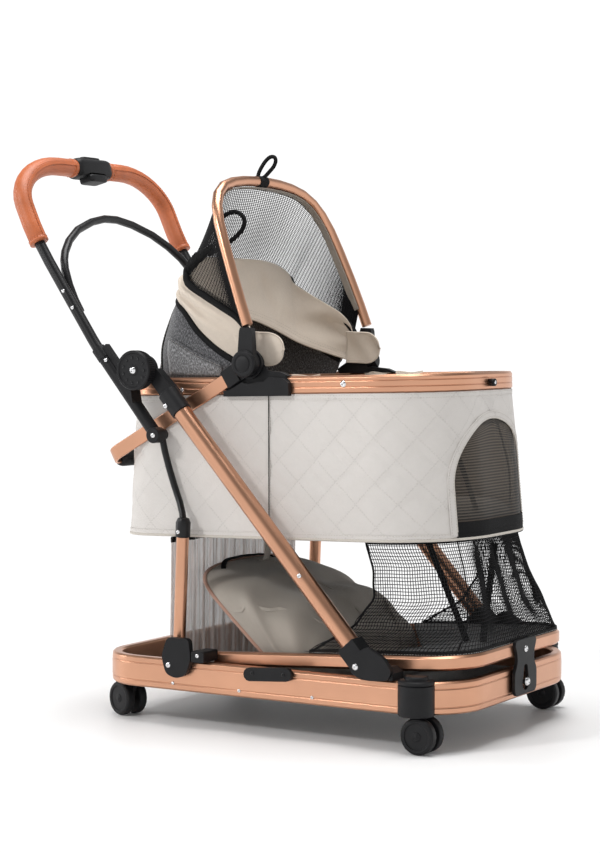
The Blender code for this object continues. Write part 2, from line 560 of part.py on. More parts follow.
# ring hubs: a shoe on the ring, rising to the pivot
shoe = prism("shoe", [(-0.1000, 0.5790), (0.0310, 0.5790), (0.0310, 0.6000), (0.0210, 0.6120),
                      (-0.0120, 0.6180),
                      (-0.0300, 0.6450), (-0.0660, 0.6450), (-0.0720, 0.6180), (-0.1000, 0.6050)],
             -0.1972, -RING_W - GAP)
saddle = prism("saddle", [(-0.0700, RING_Z1 + GAP), (0.0280, RING_Z1 + GAP), (0.0100, 0.6180),
                          (-0.0250, 0.6220),
                     (-0.0690, 0.6220)], -0.1965, -0.1840)
boss = lathe("boss", [(0, 0), (0.0200, 0), (0.0200, 0.0130), (0, 0.0130)], (PIVOT[0], -0.1972, PIVOT[1]),
             (0, 1, 0), 24)
hub = union("hub", shoe, saddle, boss)
toe = prism("toe", [(-0.1000, 0.5770), (0.0320, 0.5770), (0.0320, 0.5990), (0.0210, 0.6070),
                    (-0.0080, 0.6090),
                    (-0.0180, 0.6020), (-0.0600, 0.6020), (-0.0880, 0.5880), (-0.1000, 0.5870)], -0.2060,
                    -0.1965)
cheeks = cut(toe, lathe("r", [(0, 0), (0.0345, 0), (0.0345, 0.02), (0, 0.02)],
                        (PIVOT[0], -0.2150, PIVOT[1]), (0, 1, 0), 28))
hub = union("hub", hub, cheeks)
track(*mirrored(hub, "ring_hub_right", "ring_hub_left"))

# carry handle: black hub plates and sockets, a flat bar and a round grip across the back
ARM_A = math.atan2(0.4760 - 0.6035, -0.3410 + 0.0980)
arm_dir = Vector((math.cos(ARM_A), math.sin(ARM_A)))
plate_d = lathe("disc", [(0, 0), (0.0262, 0), (0.0262, 0.0058), (0, 0.0058)], (PIVOT[0], -0.2035, PIVOT[1]),
                (0, 1, 0), 32)
sock_dir = (Vector((-0.0980, 0.6035)) - Vector(PIVOT)).normalized()
thick = prism("thick", [on(PIVOT, sock_dir, 0.0150, 0.0165), on(PIVOT, sock_dir, 0.0560, 0.0165),
                    on(PIVOT, sock_dir, 0.0560, -0.0165), on(PIVOT, sock_dir, 0.0150, -0.0165)], -0.2035,
                    -0.1977)
outer_s = prism("outer", [on(PIVOT, sock_dir, 0.0285, 0.0160), on(PIVOT, sock_dir, 0.0560, 0.0160),
                      on(PIVOT, sock_dir, 0.0560, -0.0160), on(PIVOT, sock_dir, 0.0285, -0.0160)],
                -0.2085, -0.2030)
sock = union("sock", plate_d, thick, outer_s)
sock = cut(sock, lathe("r", [(0, 0), (0.0278, 0), (0.0278, 0.01), (0, 0.01)],
                       (PIVOT[0], -0.2138, PIVOT[1]), (0, 1, 0), 32))
track(*mirrored(sock, "carry_socket_right", "carry_socket_left"))
s0 = Vector(PIVOT) + sock_dir * 0.0578
bar_pts = [(s0.x, -0.2005, s0.y)]
end_xz = Vector((-0.3290, 0.4820))
bend = 0.028
bar_pts += [(end_xz.x, -0.2005, end_xz.y)]
for a in range(15, 91, 15):
    rad = math.radians(a)
    q = end_xz + arm_dir * (bend * math.sin(rad))
    bar_pts.append((q.x, -0.2005 + bend * (1 - math.cos(rad)), q.y))
q = end_xz + arm_dir * bend
bar_pts += [(p[0], -p[1], p[2]) for p in reversed(bar_pts)]
up_arm = Vector((-arm_dir.y, 0, arm_dir.x))
if up_arm.z < 0:
    up_arm.negate()
flat = [(-0.0028, -0.0115), (-0.0014, -0.0128), (0.0014, -0.0128), (0.0028, -0.0115), (0.0028, 0.0115),
        (0.0014, 0.0128), (-0.0014, 0.0128), (-0.0028, 0.0115)]
track(sweep("carry_bar", bar_pts, flat, up=up_arm))
cross = Vector((q.x, 0, q.y))
fwd = Vector((arm_dir.x, 0, arm_dir.y))
gr = 0.0185
grip_rows = []
for y, s in ((-0.1700, 0.70), (-0.1670, 0.92), (-0.1600, 1.0), (0.1600, 1.0), (0.1670, 0.92), (0.1700, 0.70)):
    grip_rows.append([cross + Vector((0, y, 0)) + fwd * (gr * 0.75 * s * math.cos(a))
                      + up_arm * (gr * s * math.sin(a))
                      for a in (2 * math.pi * i / 18 for i in range(18))])
grip = rings("carry_grip", grip_rows)
bore_rows = []
for y in (-0.1718, 0.1718):
    bore_rows.append([cross + Vector((0, y, 0)) + fwd * a + up_arm * b
                      for a, b in ((-0.0031, -0.0131), (0.0031, -0.0131), (0.0031, 0.0131),
                                   (-0.0031, 0.0131))])
track(cut(grip, rings("bore", bore_rows)))

# hub buttons: round caps outside the canopy discs
cap = lathe("cap", [(0, 0.0012), (0.0100, 0.0012), (0.0110, 0.0022), (0.0150, 0.0022), (0.0160, 0.0010),
                    (0.0205, 0.0010), (0.0235, 0.0035), (0.0235, 0.0070), (0, 0.0070)],
            (PIVOT[0], -0.2255, PIVOT[1]), (0, 1, 0), 28)
track(*mirrored(cap, "hub_cap_right", "hub_cap_left"))

# canopy: front bow in black sockets that turn on the hubs
sock_axis = Vector((-0.0450 - PIVOT[0], 0.6900 - PIVOT[1])).normalized()
disc = lathe("disc", [(0, 0), (0.0236, 0), (0.0236, 0.0140), (0, 0.0140)], (PIVOT[0], -0.2182, PIVOT[1]),
             (0, 1, 0), 28)
riser = prism("riser", [on(PIVOT, sock_axis, 0.0060, -0.0150), on(PIVOT, sock_axis, 0.0560, -0.0125),
                    on(PIVOT, sock_axis, 0.0620, -0.0105), on(PIVOT, sock_axis, 0.0620, 0.0105),
                    on(PIVOT, sock_axis, 0.0560, 0.0125), on(PIVOT, sock_axis, 0.0060, 0.0180)], -0.2178,
                    -0.2045)
canopy_socket = union("cs", disc, riser)
track(*mirrored(canopy_socket, "canopy_socket_right", "canopy_socket_left"))
bow0 = Vector(PIVOT) + sock_axis * 0.0662


def bow_point(h, y):
    """A point of the front bow's leaning plane at height h above its foot."""
    return Vector((bow0.x - 0.345 * h - 0.10 * h * h, y, bow0.y + h))


bow = [(0.0, -0.2100), (0.040, -0.2090), (0.090, -0.2050), (0.140, -0.1990), (0.180, -0.1920),
       (0.210, -0.1800),
       (0.232, -0.1620), (0.248, -0.1350), (0.257, -0.1000), (0.262, -0.0600), (0.264, -0.0200)]
bow = bow + [(h, -y) for h, y in reversed(bow)]
track(sweep("canopy_front_bow", [bow_point(h, y) for h, y in bow], circle(0.0095, 14)))

# canopy: middle and rear bows, black rod
def bow_rod(name, right, radius=0.0045):
    """A rod across the carrier from its right half, given as (x, y, z) points to the middle."""
    return sweep(name, right + [(x, -y, z) for x, y, z in reversed(right) if y < 0], circle(radius, 10))


MID_LEGS = [(-0.0560, 0.6640), (-0.0600, 0.6880), (-0.0800, 0.7120), (-0.1150, 0.7330), (-0.1500, 0.7530)]
mid_right = [(x, -0.1880 + 0.0016 * i, z) for i, (x, z) in enumerate(MID_LEGS)]
for a in (0, 18, 36, 54, 72, 90):
    s, c = math.sin(math.radians(a)), math.cos(math.radians(a))
    mid_right.append((-0.1850 - 0.0250 * s, -0.1800 * max(0.0, c) ** 0.6 if a < 90 else 0.0,
                      0.7750 + 0.0470 * s ** 0.8))
track(bow_rod("canopy_mid_bow", mid_right))
rear_right = [(-0.0860, -0.1800, 0.6360), (-0.1100, -0.1800, 0.6480), (-0.1400, -0.1800, 0.6680),
              (-0.1700, -0.1800, 0.6950), (-0.1950, -0.1780, 0.7270), (-0.2120, -0.1700, 0.7400),
              (-0.2260, -0.1480, 0.7500), (-0.2330, -0.1100, 0.7560), (-0.2350, -0.0600, 0.7590),
              (-0.2350, 0, 0.7600)]
track(bow_rod("canopy_rear_bow", rear_right))

# canopy back: a soft wall standing on the rear of the ring, leaning in at its top
BACK = ((RING_Z1 + 0.0010, -0.3060, 0.1755, -0.1050), (0.6450, -0.3030, 0.1735, -0.1200),
        (0.6850, -0.2960, 0.1690, -0.1580),
        (0.7150, -0.2790, 0.1650, -0.1850), (0.7350, -0.2620, 0.1600, -0.1980))


def back_loop(x_rear, half, x_side, inset):
    rear = plan(x_rear, 0.30, half, 0.100, 0.100, n=8, inset=inset)[16:32]
    rear = [(min(x, x_side - 0.004), y) for x, y in rear]
    return [(x_side, rear[0][1])] + rear + [(x_side, rear[-1][1])]


loops = []
for z, x_rear, half, x_side in BACK:
    back_out, back_in = (back_loop(x_rear, half, x_side, inset) for inset in (0.0, 0.0035))
    loops.append([(x, y, z) for x, y in back_out + back_in[::-1]])
track(rings("canopy_back", loops))


# canopy skin: net cover between the middle bow and the front bow
def run(points, count):
    """Evenly spaced points along a polyline."""
    pts = [Vector(p) for p in points]
    steps = [0.0]
    for here, after in zip(pts, pts[1:]):
        steps.append(steps[-1] + (after - here).length)
    out = []
    for i in range(count):
        want = steps[-1] * i / (count - 1)
        k = max(j for j in range(len(pts) - 1) if steps[j] <= want + 1e-9)
        out.append(pts[k].lerp(pts[k + 1], (want - steps[k]) / (steps[k + 1] - steps[k])))
    return out


front_right = [bow_point(h, y) for h, y in bow if y < 0] + [bow_point(0.2645, 0)]
mid_run, front_run = run(mid_right[1:], 12), run(front_right[1:], 12)
SKIN_MID, SKIN_FRONT, SKIN_T = 0.0120, 0.0216, 0.0030
inner_point = Vector((-0.090, 0, 0.740))
loops = []
for k in range(5):
    skin_out, skin_in = [], []
    for rear_pt, front_pt in zip(mid_run, front_run):
        span = (front_pt - rear_pt).length
        t = (SKIN_MID + (span - SKIN_MID - SKIN_FRONT) * k / 4) / span
        p = rear_pt.lerp(front_pt, t)
        skin_in.append(p)
        skin_out.append(p + (p - inner_point).normalized() * SKIN_T)
    skin_out += [Vector((p.x, -p.y, p.z)) for p in reversed(skin_out[:-1])]
    skin_in += [Vector((p.x, -p.y, p.z)) for p in reversed(skin_in[:-1])]
    loops.append([tuple(p) for p in skin_out] + [tuple(p) for p in reversed(skin_in)])
track(rings("canopy_skin", loops))

tilt = Matrix.Translation((0, 0, 0.60)) @ Matrix.Rotation(-CARRIER_TILT, 4,
                                                          "Y") @ Matrix.Translation((0, 0, -0.60))
for obj in carrier:
    obj.data.transform(tilt)

# ---------------------------------------------------------------- lower compartment
# rear curtain behind the rear posts
CURTAIN_HALF, CURTAIN_FOLD, CURTAIN_T = 0.2140, 0.004, 0.003
loops = []
for x0, z in ((-0.2080, 0.0725), (-0.2060, 0.1980), (-0.2040, 0.3240)):
    fold = [(x0 + CURTAIN_FOLD * math.sin(70 * y), y, z)
            for y in (-CURTAIN_HALF + CURTAIN_HALF * i / 12 for i in range(25))]
    loops.append(fold + [(x - CURTAIN_T, y, z) for x, y, z in reversed(fold)])
rings("rear_curtain", loops)

# hood: a soft dome on the floor, open to the rear; ridge, foot and half width of each arch from rim to front
HOOD_Z = 0.0726
HOOD = ((-0.1860, 0.2680, 0.0300, 0.1840, 0.14), (-0.1200, 0.2640, 0.0400, 0.1860, 0.20),
        (-0.0700, 0.2440, 0.0500, 0.1860, 0.28), (0.0000, 0.2220, 0.0650, 0.1840, 0.36),
        (0.0500, 0.1900, 0.0800, 0.1760, 0.45), (0.0900, 0.1400, 0.0900, 0.1650, 0.50),
        (0.1080, 0.0950, 0.1000, 0.1500, 0.50), (0.1120, 0.0765, 0.1040, 0.1400, 0.50))


def hood_arch(ridge_x, ridge_z, foot_x, half, square):
    pts = []
    for i in range(21):
        a = math.radians(-90 + 180 * i / 20)
        across, up = math.sin(a), (max(0.0, math.cos(a)) ** square if 0 < i < 20 else 0.0)
        y = half * math.copysign(abs(across) ** 0.8, across)
        pts.append((foot_x + (ridge_x - foot_x) * up, y, HOOD_Z + (ridge_z - HOOD_Z) * up))
    return pts


HOOD_T = 0.0035
loops = []
for ridge_x, ridge_z, foot_x, half, square in HOOD:
    behind = max(0.0, ridge_x) * HOOD_T / 0.09
    under = HOOD_T * (1 if ridge_x < 0.1 else 0.3)
    within = hood_arch(ridge_x - behind, ridge_z - under, foot_x - HOOD_T, half - HOOD_T, square)
    loops.append(hood_arch(ridge_x, ridge_z, foot_x, half, square) + within[::-1])
rings("lower_hood", loops)


# front skirt: net wall from under the tub to inside the upper ring; k runs 0 at the bottom to 1 at the top
def skirt_loop(k, edge_x, inset):
    xf = UPPER_XF - 0.0060 - 0.0500 * k - 0.006 * math.sin(math.pi * k)
    w = UPPER_W - UPPER_T - 0.0020 - 0.0100 * k + 0.0060 * (1 - k)
    full = plan(-0.4, xf, w, 0.1, 0.066 + 0.060 * k, n=9, inset=inset)[:18]
    full = [(edge_x, full[0][1])] + full + [(edge_x, full[-1][1])]
    low, high = UPPER_Z - UPPER_XR * UPPER_SLOPE + UPPER_H / 2 + 0.0012, TUB_Z0 - 0.0025
    tilt = UPPER_SLOPE * (1 - k) + math.tan(CARRIER_TILT) * k
    return [(x, y, low + (high - low) * k + x * tilt) for x, y in full]


loops = []
for k, edge_x in ((0.0, 0.0750), (0.25, 0.1600), (0.5, 0.1950), (0.75, 0.1920), (1.0, 0.1750)):
    loops.append(skirt_loop(k, edge_x, 0.0) + skirt_loop(k, edge_x, 0.0030)[::-1])
rings("front_skirt", loops)

# ---------------------------------------------------------------- centre the whole object on x = 0
shift = Matrix.Translation((X_SHIFT, 0, 0))
for obj in bpy.data.objects:
    obj.data.transform(shift)
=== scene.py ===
"""Looks of the pet stroller: materials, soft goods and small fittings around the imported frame.

Metres, +X front, +Y left, +Z up. Points are given in the design frame of the side frames and shifted
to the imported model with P(); what rides on the carrier is also tilted with it, with C().
"""
import json
import math

import bmesh
import bpy
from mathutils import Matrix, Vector, noise


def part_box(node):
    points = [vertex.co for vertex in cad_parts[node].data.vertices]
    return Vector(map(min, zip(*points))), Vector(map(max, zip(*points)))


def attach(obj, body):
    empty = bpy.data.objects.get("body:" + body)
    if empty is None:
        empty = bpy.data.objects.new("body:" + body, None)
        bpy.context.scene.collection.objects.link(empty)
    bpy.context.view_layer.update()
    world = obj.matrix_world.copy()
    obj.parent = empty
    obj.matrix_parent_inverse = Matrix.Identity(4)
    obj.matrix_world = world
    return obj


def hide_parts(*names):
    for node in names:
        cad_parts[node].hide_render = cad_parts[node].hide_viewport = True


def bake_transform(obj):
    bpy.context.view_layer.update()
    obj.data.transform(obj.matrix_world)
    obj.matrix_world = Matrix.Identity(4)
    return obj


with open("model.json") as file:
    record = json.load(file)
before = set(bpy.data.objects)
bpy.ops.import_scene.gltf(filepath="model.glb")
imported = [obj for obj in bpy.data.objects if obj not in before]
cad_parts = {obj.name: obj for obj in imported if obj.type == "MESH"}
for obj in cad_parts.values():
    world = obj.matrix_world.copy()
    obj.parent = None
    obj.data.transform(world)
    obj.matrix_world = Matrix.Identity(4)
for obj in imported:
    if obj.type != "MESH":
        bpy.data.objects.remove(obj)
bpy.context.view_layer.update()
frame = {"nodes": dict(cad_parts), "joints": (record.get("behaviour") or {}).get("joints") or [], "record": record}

NODES = frame["nodes"]
SIDES = (("right", -1), ("left", 1))


# ---------------------------------------------------------------- places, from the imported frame
def joint_at(name):
    """The rest position of a hinge."""
    return Vector(next(j["pos_m"] for j in frame["joints"] if j["name"] == name))


HUB = joint_at("handle_fold")
SHIFT = HUB.x + 0.2522
TILT = -math.radians(1.4)
TILT_Z = 0.60


def P(x, y, z):
    return Vector((x + SHIFT, y, z))


def C(x, y, z):
    """A point that tilts with the carrier."""
    h = z - TILT_Z
    return Vector((x * math.cos(TILT) + h * math.sin(TILT) + SHIFT, y,
                   TILT_Z - x * math.sin(TILT) + h * math.cos(TILT)))


# ---------------------------------------------------------------- materials
MATS = {}
BSDF = "Principled BSDF"
THREAD = 0.314159          # a wave texture of scale THREAD / pitch repeats once a pitch
FIBRES = (1, 0.45, 1)      # heather fibres are drawn out across the cloth


def shader(name, colour, rough, **sockets):
    """A Principled material, kept in MATS; sockets are set on the shader itself."""
    mat = bpy.data.materials.new(name)
    mat.use_nodes = True
    MATS[name] = mat
    inputs = mat.node_tree.nodes[BSDF].inputs
    inputs["Base Color"].default_value = (*colour, 1)
    inputs["Roughness"].default_value = rough
    for key, value in sockets.items():
        inputs[key.replace("_", " ")].default_value = value
    return mat.node_tree


def add(tree, kind, inputs=None, **settings):
    item = tree.nodes.new("ShaderNode" + kind)
    for key, value in settings.items():
        setattr(item, key, value)
    for key, value in (inputs or {}).items():
        if isinstance(value, bpy.types.NodeSocket):
            tree.links.new(value, item.inputs[key])
        else:
            item.inputs[key].default_value = value
    return item


def drive(tree, output, socket):
    tree.links.new(output, tree.nodes[BSDF].inputs[socket])


def place(tree, uv=False, stretch=(1, 1, 1)):
    """Texture coordinates in metres, from the object or from the piece's own cloth coordinates."""
    coords = add(tree, "TexCoord").outputs["UV" if uv else "Object"]
    return add(tree, "Mapping", {"Vector": coords, "Scale": stretch}).outputs[0]


def cloud(tree, where, scale, detail=2.0, rough=0.5):
    inputs = {"Vector": where, "Scale": scale, "Detail": detail, "Roughness": rough}
    return add(tree, "TexNoise", inputs).outputs["Fac"]


def cells(tree, where, scale, feature="F1"):
    return add(tree, "TexVoronoi", {"Vector": where, "Scale": scale}, feature=feature).outputs["Distance"]


def wave(tree, where, pitch, direction, **sockets):
    """Bands that repeat once a pitch along X or Y."""
    inputs = {key.replace("_", " "): value for key, value in sockets.items()}
    inputs.update({"Vector": where, "Scale": THREAD / pitch})
    return add(tree, "TexWave", inputs, bands_direction=direction).outputs["Fac"]


def tint(tree, fac, *stops):
    """Drives the base colour from a factor through (position, colour) stops."""
    ramp = add(tree, "ValToRGB", {"Fac": fac})
    while len(ramp.color_ramp.elements) < len(stops):
        ramp.color_ramp.elements.new(0.5)
    for element, (where, colour) in zip(ramp.color_ramp.elements, stops):
        element.position = where
        element.color = (*colour, 1)
    drive(tree, ramp.outputs[0], "Base Color")


def roughen(tree, fac, low, high):
    drive(tree, add(tree, "MapRange", {"Value": fac, "To Min": low, "To Max": high}).outputs[0], "Roughness")


def raise_by(tree, height, depth):
    drive(tree, add(tree, "Bump", {"Height": height, "Distance": depth, "Strength": 1.0}).outputs[0],
          "Normal")


def calc(tree, what, a, b):
    return add(tree, "Math", {0: a, 1: b}, operation=what).outputs[0]


def mul(tree, a, b):
    return calc(tree, "MULTIPLY", a, b)


def plus(tree, a, b):
    return calc(tree, "ADD", a, b)


def shade(colour, k):
    return tuple(min(1.0, c * k) for c in colour)


def shades(colour, *stops):
    """(position, colour) stops from (position, brightness) ones."""
    return [(where, shade(colour, k)) for where, k in stops]


def weave(tree, where, pitch):
    """Crossing threads: the height of a plain weave."""
    warp, weft = (wave(tree, where, pitch, way, Distortion=0.6, Detail_Scale=2.0) for way in "XY")
    return calc(tree, "MAXIMUM", warp, weft)


def cloth(name, colour, pitch, spread, rough, depth, uv=True, sheen=0.25):
    """Woven cloth: threads, slubs and a slightly uneven dye."""
    tree = shader(name, colour, rough, Sheen_Weight=sheen, Sheen_Roughness=0.4)
    where = place(tree, uv)
    threads = weave(tree, where, pitch)
    blotch = cloud(tree, where, 9.0, 3.0)
    slub = cloud(tree, where, 160.0)
    fac = plus(tree, mul(tree, threads, 0.35), plus(tree, mul(tree, blotch, 0.35), mul(tree, slub, 0.30)))
    tint(tree, fac, *shades(colour, (0.15, 1 - spread), (0.8, 1 + spread)))
    raise_by(tree, plus(tree, threads, mul(tree, slub, 0.8)), depth)


def tub_fabric():
    """Coated cloth sewn in large diamonds: a fine weave, dashed stitch lines and soft dimples."""
    colour, diamond, stitch = (0.650, 0.618, 0.588), 0.0530, 0.0052
    tree = shader("tub_fabric", colour, 0.62, Sheen_Weight=0.08, Sheen_Roughness=0.4)
    where = place(tree, True)
    threads = weave(tree, where, 0.0011)
    blotch = cloud(tree, where, 7.0, 3.0)
    fine = cloud(tree, where, 120.0, 3.0)
    seams = []
    for angle in (45, -45):
        turned = add(tree, "Mapping", {"Vector": where, "Rotation": (0, 0, math.radians(angle))}).outputs[0]
        line = wave(tree, turned, diamond, "X", Phase_Offset=1.4)
        line = add(tree, "MapRange", {"Value": line, "From Min": 0.992, "From Max": 0.9995}).outputs[0]
        dash = wave(tree, turned, stitch, "Y")
        dash = add(tree, "MapRange", {"Value": dash, "From Min": 0.25, "From Max": 0.45}).outputs[0]
        seams.append(mul(tree, line, dash))
    lines = calc(tree, "MAXIMUM", *seams)
    fac = plus(tree, mul(tree, threads, 0.25), plus(tree, mul(tree, blotch, 0.45), mul(tree, fine, 0.30)))
    fac = calc(tree, "SUBTRACT", fac, mul(tree, lines, 0.30))
    tint(tree, fac, *shades(colour, (0.0, 0.70), (0.25, 0.96), (0.8, 1.05)))
    roughen(tree, fine, 0.55, 0.72)
    height = plus(tree, threads, mul(tree, fine, 0.7))
    raise_by(tree, calc(tree, "SUBTRACT", height, mul(tree, lines, 1.8)), 0.00022)


def rose_aluminium():
    colour = (0.610, 0.325, 0.208)
    tree = shader("rose_aluminium", colour, 0.30, Metallic=1.0)
    brushed = cloud(tree, place(tree, stretch=(1, 1, 14)), 220.0, 3.0)
    tint(tree, cloud(tree, place(tree), 14.0), *shades(colour, (0.3, 0.95), (0.7, 1.04)))
    roughen(tree, brushed, 0.25, 0.37)
    raise_by(tree, brushed, 0.00003)


def black_metal():
    tree = shader("black_metal", (0.006, 0.006, 0.007), 0.36, Coat_Weight=0.06, Coat_Roughness=0.3,
                  Specular_IOR_Level=0.28)
    fine = cloud(tree, place(tree), 900.0)
    roughen(tree, fine, 0.30, 0.44)
    raise_by(tree, fine, 0.00002)


def black_plastic():
    colour = (0.007, 0.007, 0.008)
    tree = shader("black_plastic", colour, 0.48, Specular_IOR_Level=0.24)
    where = place(tree)
    dust = cloud(tree, where, 30.0, 3.0)
    tint(tree, dust, *shades(colour, (0.3, 0.85), (0.75, 1.35)))
    roughen(tree, dust, 0.42, 0.55)
    raise_by(tree, cells(tree, where, 1100.0), 0.00006)


def grip_leather():
    colour = (0.460, 0.115, 0.034)
    tree = shader("grip_leather", colour, 0.46, Coat_Weight=0.12, Coat_Roughness=0.35)
    where = place(tree)
    pores = cells(tree, where, 620.0, "DISTANCE_TO_EDGE")
    creases = cloud(tree, where, 260.0, 4.0)
    tint(tree, cloud(tree, where, 22.0, 3.0), *shades(colour, (0.25, 0.78), (0.75, 1.18)))
    roughen(tree, creases, 0.38, 0.56)
    raise_by(tree, plus(tree, mul(tree, pores, 1.4), creases), 0.00022)


def wheel_rubber():
    tree = shader("wheel_rubber", (0.007, 0.007, 0.008), 0.50, Specular_IOR_Level=0.26)
    fine = cloud(tree, place(tree), 420.0, 3.0)
    roughen(tree, fine, 0.42, 0.60)
    raise_by(tree, fine, 0.00004)


def steel():
    tree = shader("steel", (0.72, 0.72, 0.73), 0.18, Metallic=1.0)
    roughen(tree, cloud(tree, place(tree), 500.0), 0.12, 0.28)


def heather(name, colour, scale, stops, woven):
    """Dark and pale fibres side by side, over a weave where the cloth is thin enough to show it."""
    tree = shader(name, colour, 0.95, Sheen_Weight=0.4, Sheen_Roughness=0.5)
    fibres = cloud(tree, place(tree, True, FIBRES), scale, 4.0, 0.7)
    tint(tree, fibres, *stops)
    raise_by(tree, plus(tree, fibres, weave(tree, place(tree, True), 0.0016)) if woven else fibres, 0.0004)


def curtain_fabric():
    """Thin striped linen."""
    tree = shader("curtain_fabric", (0.62, 0.58, 0.54), 0.9, Sheen_Weight=0.3, Alpha=0.58)
    where = place(tree, True)
    stripes = wave(tree, where, 0.0085, "X", Distortion=1.5, Detail=2.0, Detail_Scale=1.5)
    yarn = cloud(tree, place(tree, True, (1, 0.06, 1)), 420.0, 3.0)
    fac = plus(tree, mul(tree, stripes, 0.55), mul(tree, yarn, 0.45))
    tint(tree, fac, (0.22, (0.74, 0.60, 0.54)), (0.45, (0.88, 0.80, 0.76)), (0.75, (0.94, 0.91, 0.89)))
    raise_by(tree, plus(tree, yarn, weave(tree, where, 0.0010)), 0.0003)


def net_thread(name):
    tree = shader(name, (0.010, 0.010, 0.011), 0.55, Specular_IOR_Level=0.2)
    roughen(tree, cloud(tree, place(tree), 700.0), 0.45, 0.65)


def webbing():
    """Webbing and bindings, ribbed across their length."""
    tree = shader("webbing", (0.005, 0.005, 0.0055), 0.75, Specular_IOR_Level=0.2)
    ribs = weave(tree, place(tree, True), 0.0014)
    roughen(tree, ribs, 0.60, 0.85)
    raise_by(tree, ribs, 0.00035)


def window_screen():
    """The window's fine screen: an even film with ribs."""
    tree = shader("window_screen", (0.008, 0.0075, 0.007), 0.6, Specular_IOR_Level=0.2, Alpha=0.92)
    ribs = wave(tree, place(tree, True), 0.0050, "Y")
    tint(tree, ribs, (0.35, (0.010, 0.010, 0.010)), (0.75, (0.075, 0.062, 0.050)))


def dotted(name, colour, uv):
    """Dark cloth with a dotted weave."""
    tree = shader(name, colour, 0.9, Sheen_Weight=0.3)
    holes = cells(tree, place(tree, uv), 310.0)
    tint(tree, holes, *shades(colour, (0.10, 0.3), (0.55, 1.9)))
    raise_by(tree, holes, 0.0008)


rose_aluminium()
black_metal()
black_plastic()
grip_leather()
wheel_rubber()
steel()
tub_fabric()
cloth("canopy_fabric", (0.650, 0.565, 0.475), 0.0013, 0.10, 0.88, 0.0003)
cloth("hood_fabric", (0.400, 0.360, 0.312), 0.0012, 0.10, 0.80, 0.00025)
cloth("cushion_fabric", (0.560, 0.500, 0.430), 0.0016, 0.08, 0.95, 0.0005, sheen=0.5)
cloth("piping", (0.430, 0.250, 0.190), 0.0010, 0.08, 0.75, 0.00015, uv=False)
cloth("hem_piping", (0.560, 0.520, 0.465), 0.0010, 0.06, 0.75, 0.00015, uv=False)
cloth("piping_taupe", (0.300, 0.262, 0.222), 0.0010, 0.08, 0.85, 0.0002)
cloth("grip_thread", (0.42, 0.13, 0.05), 0.0006, 0.05, 0.7, 0.0001, uv=False)
cloth("thread", (0.430, 0.385, 0.330), 0.0006, 0.05, 0.8, 0.0001, uv=False)
cloth("white_thread", (0.72, 0.70, 0.67), 0.0006, 0.05, 0.8, 0.0001, uv=False)
heather("grey_fabric", (0.10, 0.10, 0.105), 520.0,
        ((0.36, (0.014, 0.014, 0.016)), (0.50, (0.060, 0.060, 0.065)), (0.64, (0.24, 0.24, 0.25))), True)
heather("grey_light", (0.22, 0.22, 0.225), 480.0,
        ((0.36, (0.05, 0.05, 0.05)), (0.50, (0.17, 0.17, 0.175)), (0.64, (0.42, 0.42, 0.43))), False)
curtain_fabric()
net_thread("canopy_mesh")
net_thread("skirt_mesh")
webbing()
window_screen()
dotted("floor_fabric", (0.022, 0.021, 0.020), False)
dotted("mat_fabric", (0.020, 0.020, 0.021), True)


# ---------------------------------------------------------------- geometry helpers
STITCH_STEP = 0.0008       # stitches start and end on points this far apart


def finish(obj, mat, body=None, slot=None, smooth=True):
    """The material, shading and body of a piece."""
    obj.data.materials.clear()
    obj.data.materials.append(MATS[mat])
    if smooth:
        obj.data.shade_smooth()
    if body:
        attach(obj, body)
    known = [m["slot"] for m in frame["record"]["materials"]]
    for name in (slot, mat):
        if name in known:
            break
    return obj


def mesh_object(name, verts, faces, uvs=None):
    mesh = bpy.data.meshes.new(name)
    mesh.from_pydata([tuple(v) for v in verts], [], faces)
    if uvs:
        layer = mesh.uv_layers.new(name="cloth")
        for loop in mesh.loops:
            layer.data[loop.index].uv = uvs[loop.vertex_index]
    obj = bpy.data.objects.new(name, mesh)
    bpy.context.scene.collection.objects.link(obj)
    return obj


def rework(obj, work):
    """Changes the mesh of an object with work(bm)."""
    bm = bmesh.new()
    bm.from_mesh(obj.data)
    work(bm)
    bm.to_mesh(obj.data)
    bm.free()


def close_up(bm, dist):
    bmesh.ops.remove_doubles(bm, verts=bm.verts, dist=dist)
    bmesh.ops.recalc_face_normals(bm, faces=bm.faces)


def quads(rows, columns, closed=False):
    """Faces between rows of points; a closed sheet also joins the ends of each row."""
    faces = []
    for j in range(rows - 1):
        for i in range(columns if closed else columns - 1):
            k = (i + 1) % columns
            faces.append((j * columns + i, j * columns + k, (j + 1) * columns + k, (j + 1) * columns + i))
    return faces


def flat_list(rows):
    return [p for row in rows for p in row]


def lengths(points):
    """The distance along the points, at each of them."""
    total = [0.0]
    for a, b in zip(points, points[1:]):
        total.append(total[-1] + (b - a).length)
    return total


def spaced(line, count, parts):
    """Points at even steps along a line that is `parts` steps long."""
    steps = lengths(line)
    out, k = [], 0
    for i in range(count):
        want = steps[-1] * i / parts
        while k < len(steps) - 2 and steps[k + 1] < want:
            k += 1
        t = (want - steps[k]) / max(1e-9, steps[k + 1] - steps[k])
        out.append(line[k].lerp(line[k + 1], min(1.0, t)))
    return out


def surface(name, rows, uv=True):
    """A quad sheet through rows of points, with cloth coordinates in metres."""
    uvs = []
    if uv:
        across = lengths(rows[len(rows) // 2])
        up = [0.0] * len(across)
        for j, row in enumerate(rows):
            if j:
                up = [u + (p - q).length for u, p, q in zip(up, row, rows[j - 1])]
            uvs += zip(across, up)
    return mesh_object(name, flat_list(rows), quads(len(rows), len(rows[0])), uvs)


def between(low, top, stops, shape):
    """Rows of a sheet between two lines; shape(p, t, i) gives the place of each point."""
    rows = []
    for t in stops:
        rows.append([shape(a.lerp(b, t), t, i) for i, (a, b) in enumerate(zip(low, top))])
    return rows


